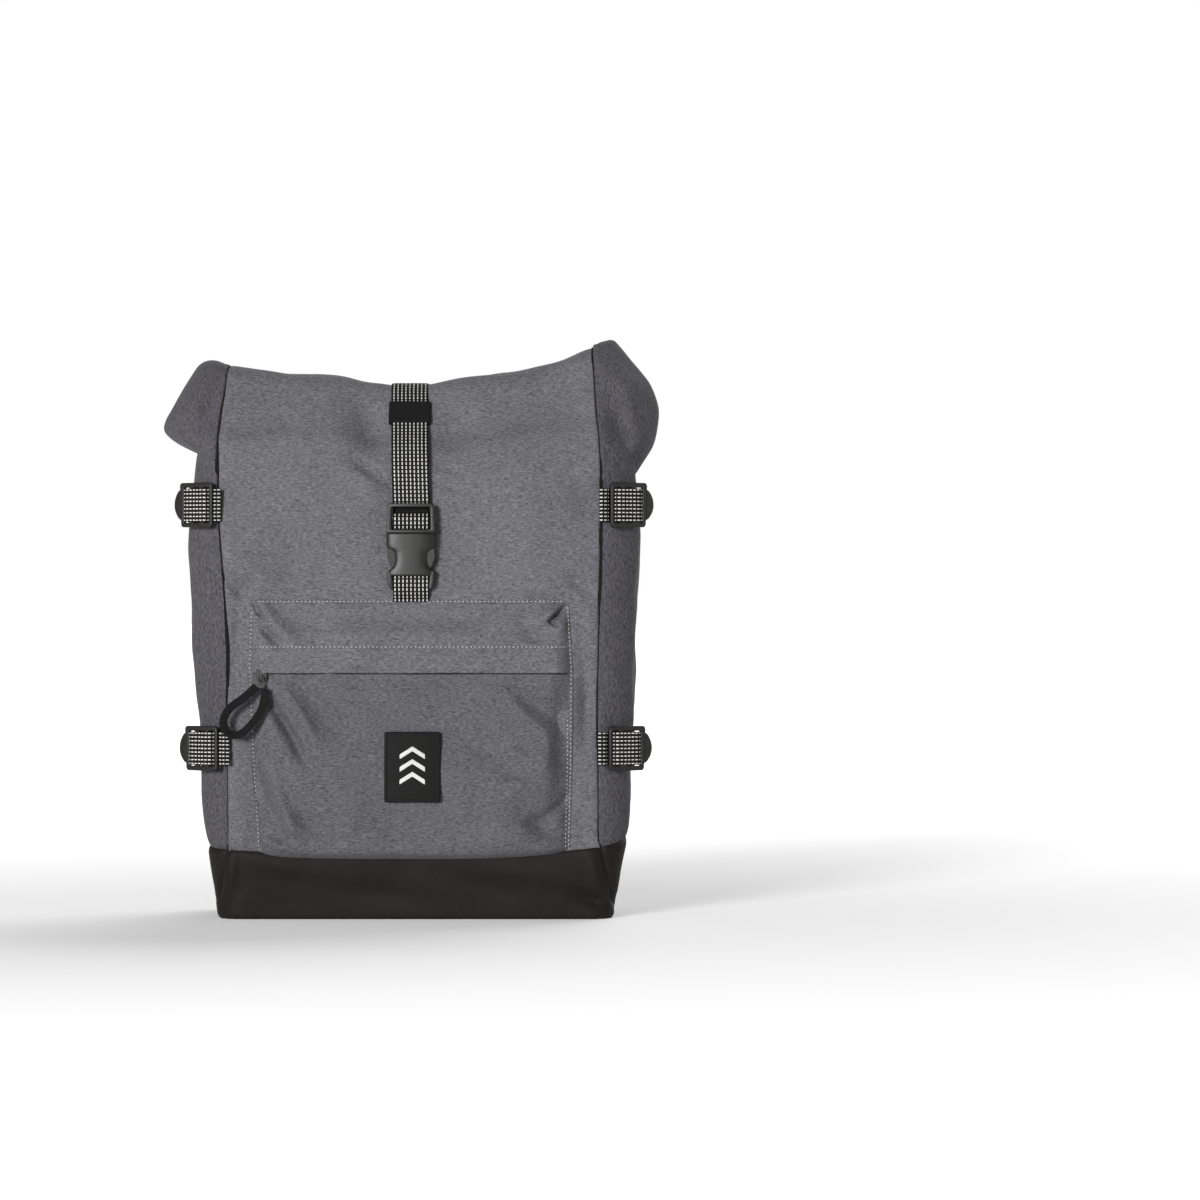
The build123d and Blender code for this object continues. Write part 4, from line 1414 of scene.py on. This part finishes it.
def buckle_shield():
    heights = np.array([row[0] for row in SHIELD])[::-1]
    halves = np.array([row[1] for row in SHIELD])[::-1]
    levels = np.concatenate(
        [[258.6, 258.9, 259.4], np.linspace(260, 289.4, 40), [290, 290.5, 290.8]]
    )
    rings = []
    for z in levels:
        half = float(np.interp(z, heights, halves))
        end = min(z - 258.6, 290.8 - z)
        shrink = 0.7 * (1 - min(end / 0.9, 1)) ** 2
        turns = np.linspace(0, 2 * math.pi, 72, endpoint=False)
        cos, sin = np.cos(turns), np.sin(turns)
        x = np.sign(cos) * np.abs(cos) ** 0.42 * (half - shrink)
        bulge = np.where(sin < 0, 5.3 - 0.9 * (x / 18.5) ** 2, 3.9) - shrink
        y = -88.7 + np.sign(sin) * np.abs(sin) ** 0.42 * bulge
        rings.append(np.column_stack([x, y, np.full(72, z)]))
    shield = loft("buckle_shield", rings, satin)
    cut_out(shield, ((-16.4, -91.9, 261), (16.4, -86.7, 292)))
    shade(shield, 40)
    return on(shield, "bag", "buckle_plastic", "buckle_female")


def buckle_arms():
    arm = [(15.2, 263), (18.2, 262), (17.6, 254), (15.6, 248.6), (13.4, 248.6), (13.6, 256)]
    for hand, sign in HANDS:
        outline = smoothed([(sign * x, z) for x, z in arm], 1.6)
        piece = moulding(f"buckle_arm_{hand}", [outline], 6.4, 0.9, FRONT_SEAT, satin)
        on(piece, "bag", "buckle_plastic")
    bar = moulding(
        "buckle_lower_bar", [rounded(31, 3.6, 1.5, (0, 250.4))], 3.6, 1.0,
        ((0, -88.4, 0), *FRONT_SEAT[1:]), satin
    )
    on(bar, "bag", "buckle_plastic")


def buckle_frame():
    outer = smoothed(
        [(-18.6, 290.6), (18.6, 290.6), (17.6, 311), (16.2, 313.2), (-16.2, 313.2), (-17.6, 311)],
        2.0
    )
    window = smoothed([(-14.6, 293.6), (14.6, 293.6), (14.2, 310.2), (-14.2, 310.2)], 1.0)
    frame_piece = moulding("buckle_frame", [outer, window], 5.6, 0.8, FRONT_SEAT, satin)
    on(frame_piece, "male_buckle", "buckle_plastic", "buckle_male")
    bar = moulding(
        "buckle_middle_bar", [rounded(30, 3.4, 1.4, (0, 302.2))], 3.0, 1.0, FRONT_SEAT, satin
    )
    on(bar, "male_buckle", "buckle_plastic")
    tongue = moulding(
        "buckle_tongue", [rounded(8, 29, 1.2, (0, 278))], 4.2, 0.6,
        ((0, -89.3, 0), *FRONT_SEAT[1:]), satin
    )
    on(tongue, "male_buckle", "buckle_plastic")


buckle_shield()
buckle_arms()
buckle_frame()
for hand in ("left", "right"):
    finished(f"buckle_prong_{hand}", satin)
print("buckle made")

# %% [markdown]
# ## Webbing round the buckle's bars
# Webbing always turns round a bar. In the frame it comes up through the window and over the middle
# bar, and at the bottom the fixed tab wraps the lower bar from the front.

# %% Webbing round the buckle's bars
FRAME_TURN = [
    (-86.4, 304.8), (-88.4, 304.9), (-90.8, 304.2), (-91.9, 302.2), (-92.0, 299.6), (-91.6, 296.4),
    (-89.8, 294.4), (-86.8, 293.6),
]
# Route of the black strip that stands for the strap in shade behind the frame's top bar.
SHADOW_BEHIND_BAR = [(-85.2, 312), (-85.6, 306), (-85.8, 300), (-85.6, 294)]
TAB_TURN = [
    (-86.2, 239.4), (-87.4, 242), (-89.6, 245), (-91.4, 248.5), (-91.8, 252.4), (-91.4, 256),
    (-90.2, 258.4), (-88.2, 259.2),
]


def turned_web(name, route, width, body, *nodes):
    path = eased(route, 48)
    piece = sweep(name, np.column_stack([np.zeros(48), path]), width, 1.4, (1, 0, 0), dotted_web)
    return on(piece, body, "webbing", *nodes)


# Behind the frame's top bar the strap is drawn in plain black: painted shadow for the dark top of
# the window, where the dotted strap runs in shade.
shadow_strip = sweep("strap_shadow_behind_bar", [(0, *place) for place in SHADOW_BEHIND_BAR], WEB - 0.4, 1.0, (1, 0, 0), elastic)
on(shadow_strip, "male_buckle", "webbing")
turned_web("frame_webbing", FRAME_TURN, WEB - 0.6, "male_buckle")
turned_web("tab_webbing", TAB_TURN, WEB - 1.0, "bag", "buckle_tab_webbing")
print("webbing turned")

# %% [markdown]
# ## Ladder locks and side straps
# Each gusset is pulled in by two webbing straps. A strap starts at the front seam, holds a ladder
# lock, and the free strap comes out of the lock, over its bars, and goes round the side to the
# back.

# %% Ladder locks and side straps
TURNS = {-1: math.radians(32), 1: math.radians(24)}
LOCKS = {"upper": 312.0, "lower": 129.0}
LOCK_SLIDE = {("upper", -1): -1.8, ("upper", 1): -1.2, ("lower", -1): -6.5, ("lower", 1): -2.6}
WEB_START = {("upper", -1): 144, ("upper", 1): 142.3, ("lower", -1): 137.2, ("lower", 1): 141.2}
SIDE_WEB = 25.0


def lock_seat(level, sign, z):
    """Origin, direction away from the seam, and up, for a lock."""
    slid = LOCK_SLIDE[level, sign]
    front = float(lookup(np.array(z), HEIGHTS, FRONTS)) - 3.5
    cos, sin = math.cos(TURNS[sign]), math.sin(TURNS[sign])
    return (sign * (142 + slid * cos), front + slid * sin, z), (sign * cos, sin, 0), (0, 0, 1)


def seated(seat, u, w):
    """A point of a lock: u along it away from the seam, w out of the bag."""
    origin, along, _ = (np.array(v, float) for v in seat)
    sign = 1 if along[0] > 0 else -1
    out = np.array([sign * math.sin(TURNS[sign]), -math.cos(TURNS[sign]), 0])
    return origin + along * u + out * w


def lock_plate(level, hand, sign, z):
    seat = lock_seat(level, sign, z)
    place = (seated(seat, 0, 3.6), seat[1], seat[2])
    outer = smoothed(
        [(8, -15.6), (10, -17.2), (35.4, -16.6), (36.6, -15), (37.8, 15), (36.6, 16.8), (10, 17),
        (8, 15.4)],
        3
    )
    holes = [
        rounded(w, SIDE_WEB + 1.4, 1.2, (u, 0)) for u, w in ((13.4, 5.4), (22.3, 6.2), (31.2, 5.4))
    ]
    tab = smoothed(
        [(34.5, -12.4), (39.4, -10.6), (42.9, -5), (43.8, 0), (42.9, 5.6), (39.8, 11.2),
        (34.5, 13)],
        4
    )
    plate = moulding(f"{level}_lock_plate_{hand}", [outer, *holes], 3.4, 0.8, place, satin)
    on(plate, f"{level}_lock_{hand}", "buckle_plastic", f"{level}_lock_{hand}")
    lower = (seated(seat, 0, 3.2), seat[1], seat[2])
    tab_piece = moulding(f"{level}_lock_tab_{hand}", [tab], 2.2, 0.8, lower, satin)
    on(tab_piece, f"{level}_lock_{hand}", "buckle_plastic")


def lock_web(level, hand, sign, z):
    """The webbing over the lock's bars, which moves with the lock."""
    seat = lock_seat(level, sign, z)
    route = [
        (11.6, 2.4), (12.2, 4.2), (14.4, 5.9), (19.6, 6.2), (22.6, 5.9), (26, 6.2), (31.2, 5.9),
        (33.4, 4.4), (33.8, 2.4)
    ]
    path = [seated(seat, u, w) for u, w in eased(route, 40)]
    web = sweep(f"{level}_lock_webbing_{hand}", path, SIDE_WEB, 1.3, (0, 0, 1), side_dotted_web)
    on(web, f"{level}_lock_{hand}", "webbing")


def stub_web(level, hand, sign, z):
    """The sewn-in start of the strap, from the seam to the lock's first bar."""
    seat = lock_seat(level, sign, z)
    start = (WEB_START[level, sign] - 142) / math.cos(TURNS[sign]) - LOCK_SLIDE[level, sign]
    under_bar = [(8.6, 1.7), (10.8, 0.6)] if sign < 0 else [(6.6, 1.6), (7.6, 0.5)]
    route = [(start - 0.8, 0.2), (start, 1.8), (start + 1.4, 2.3), *under_bar]
    path = [seated(seat, u, w) for u, w in eased(route, 40)]
    web = sweep(f"{level}_stub_webbing_{hand}", path, SIDE_WEB, 1.3, (0, 0, 1), side_dotted_web)
    on(web, "bag", "webbing", f"{level}_anchor_web_{hand}")


def round_side(level, hand, sign, z):
    """The long part of the strap: under the lock, round the gusset and into the back seam."""
    half, front, back, corner = (float(v) for v in body_at(np.array(z), sign))
    half, front = half + 1.35, front - 1.35
    near = arc(half - corner, front + corner, corner, np.linspace(0.5 - math.pi / 2, 0, 9))
    far = arc(half - corner, 80 + 1.35 - corner, corner, np.linspace(0, 1.25, 9))
    route = [(near[0][0] - 6, near[0][1] - 1.0), *near, (half, 0), (half, 20), *far]
    path = [(sign * x, y, z) for x, y in eased(route, 90)]
    web = sweep(f"{level}_side_webbing_{hand}", path, SIDE_WEB, 1.4, (0, 0, 1), side_dotted_web)
    on(web, "bag", "webbing", f"{level}_side_strap_{hand}")


for level, z in LOCKS.items():
    for hand, sign in HANDS:
        for make in (lock_plate, lock_web, stub_web, round_side):
            make(level, hand, sign, z)
print("four locks")

# %% [markdown]
# ## Pull ribbon
# A loop of flat ribbon hangs from the zip's pull. It is a free cord here: the line is a smooth
# spline through the air in front of the pocket, and the flat band follows it, turning over at the
# bottom.

# %% Pull ribbon
RIBBON_DEPTH = -97.9
RIBBON_ROUTE = [
    (-115.4, 176), (-124, 167.5), (-136, 160), (-141.5, 149), (-136.5, 139), (-127, 139.5),
    (-117.5, 149), (-110, 161), (-108.8, 174),
]
RIBBON_WIDE, RIBBON_THICK = 6.2, 0.7


def spline_line(name, route):
    """Points along the smooth spline that has the route's points as control points, in metres."""
    curve = bpy.data.curves.new(name, "CURVE")
    curve.dimensions = "3D"
    spline = curve.splines.new("NURBS")
    spline.points.add(len(route) - 1)
    for point, place in zip(spline.points, route):
        point.co = (*place, 1)
    spline.order_u = 3
    spline.use_endpoint_u = True
    spline.resolution_u = 16
    drawn = bpy.data.objects.new(name, curve)
    mesh = bpy.data.meshes.new_from_object(drawn)
    points = [tuple(v.co) for v in mesh.vertices]
    bpy.data.objects.remove(drawn)
    return points


def pull_ribbon():
    line_points = spline_line(
        "ribbon_line", [(x * MM, RIBBON_DEPTH * MM, z * MM) for x, z in RIBBON_ROUTE]
    )
    path = np.array(line_points) / MM
    tangent = np.gradient(path, axis=0)
    tangent /= np.linalg.norm(tangent, axis=1)[:, None]
    share = np.linspace(0, 1, len(path))
    turn = np.interp(
        share, (0, 0.1, 0.42, 0.55, 0.68, 1), (0.1, 0.05, 0.12, 0.5, 0.42, 0.4)
    )[:, None]
    toward = np.array([0, 1.0, 0])
    flat = np.cross(tangent, toward)
    side = flat * np.cos(turn) + toward * np.sin(turn)
    side /= np.linalg.norm(side, axis=1)[:, None]
    ribbon = sweep("pull_ribbon", path, RIBBON_WIDE, RIBBON_THICK, side, elastic)
    on(ribbon, "zip_pull", "plain_webbing", "zip_ribbon")


pull_ribbon()

# %% [markdown]
# ## Rubber patch
# A soft rubber patch is sewn on the pocket. It has a rim pressed round its edge and a plain mark of
# three chevrons in pale rubber.


# %% Rubber patch
PATCH_X, PATCH_Z, PATCH_WIDE, PATCH_TALL = 1.4, 115.6, 42.0, 53.0
CHEVRON_HALF, CHEVRON_DROP, CHEVRON_BAR = 9.5, 6.0, 3.6


def patch():
    heights = (PATCH_Z, PATCH_Z + 20, PATCH_Z - 20)
    middle, above, below = (laid_on([pocket_bag], [(PATCH_X, z)])[0][1] for z in heights)
    tilt = above - below
    up = Vector((0, tilt / 40, 1)).normalized()
    seat = ((PATCH_X, middle - 0.9, PATCH_Z), (1, 0, 0), tuple(up))
    outline = rounded(PATCH_WIDE, PATCH_TALL, 1.6)
    plate = moulding("patch_plate", [outline], 1.8, 0.45, seat, patch_rubber)
    on(plate, "bag", "patch_rubber", "badge_patch")
    proud = ((PATCH_X, middle - 1.75, PATCH_Z), (1, 0, 0), tuple(up))
    edges = [
        rounded(PATCH_WIDE - d, PATCH_TALL - d, radius) for d, radius in ((0.8, 1.4), (4.4, 0.8))
    ]
    rim = moulding("patch_rim", edges, 0.8, 0.3, proud, patch_rubber)
    on(rim, "bag", "patch_rubber")
    for n, z in enumerate((-9.5, 0, 9.5)):
        half, drop, bar = CHEVRON_HALF, CHEVRON_DROP, CHEVRON_BAR
        outline = [
            (-half, z), (0, z + drop), (half, z), (half, z - bar), (0, z + drop - bar),
            (-half, z - bar)
        ]
        mark = moulding(f"patch_chevron_{n}", [smoothed(outline, 0.5)], 0.7, 0.2, proud, patch_mark)
        on(mark, "bag", "patch_rubber")


patch()
print("patch sewn on")

# %% [markdown]
# ## Hardware from the frame
# The hard parts already have their right shape. Their edges are softened on a copy of the mesh, so
# that they catch light as mouldings do, and each gets the finish of its material.


# %% Hardware from the frame
def softened(node, finish, slot, edge):
    """A bevelled copy of a frame node, which stands for it."""
    source = frame["nodes"][node]
    mesh = source.data.copy()
    mesh.materials.clear()
    mesh.materials.append(finish)
    piece = bpy.data.objects.new(node + "_finished", mesh)
    bpy.context.scene.collection.objects.link(piece)
    clean = bmesh.new()
    clean.from_mesh(mesh)
    bmesh.ops.remove_doubles(clean, verts=clean.verts, dist=0.00002)
    bmesh.ops.dissolve_limit(
        clean, angle_limit=math.radians(2), verts=clean.verts, edges=clean.edges
    )
    clean.to_mesh(mesh)
    clean.free()
    mesh.polygons.foreach_set("use_smooth", [True] * len(mesh.polygons))
    bevel = piece.modifiers.new("edges", "BEVEL")
    bevel.width = edge * MM
    bevel.segments = 3
    bevel.limit_method = "ANGLE"
    bevel.angle_limit = math.radians(32)
    bevel.harden_normals = True
    return on(piece, source["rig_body"], slot, node)


HARDWARE = {
    "rail": (nylon, "rail_plastic", 0.5),
    "lower_rail": (nylon, "rail_plastic", 0.5),
    "rail_end_caps": (nylon, "rail_plastic", 0.6),
    "hook_left": (nylon, "rail_plastic", 0.7),
    "hook_right": (nylon, "rail_plastic", 0.7),
    "latch_left": (grip, "latch_plastic", 0.5),
    "latch_right": (grip, "latch_plastic", 0.5),
    "hook_insert_left": (rubber, "insert_rubber", 0.3),
    "hook_insert_right": (rubber, "insert_rubber", 0.3),
    "lower_slider": (nylon, "rail_plastic", 0.5),
    "lower_hook": (nylon, "rail_plastic", 0.6),
    "carry_handle": (grip, "latch_plastic", 0.9),
    "handle_brackets": (nylon, "rail_plastic", 0.5),
}
for node, (finish, slot, edge) in HARDWARE.items():
    softened(node, finish, slot, edge)

PLAIN = {
    "back_board": board, "base_board": board, "roll_stiffener": board,
    "zip_slider": satin, "zip_pull": satin,
    "rail_screws": zinc, "rail_nuts": zinc, "lower_rail_screws": zinc, "lower_rail_nuts": zinc,
    "lower_pivot": zinc,
    "latch_pin_left": zinc, "latch_pin_right": zinc, "latch_spring_left": zinc,
    "latch_spring_right": zinc,
}
for node, finish in PLAIN.items():
    finished(node, finish)
print(len(HARDWARE), "softened,", len(PLAIN), "finished as they are")
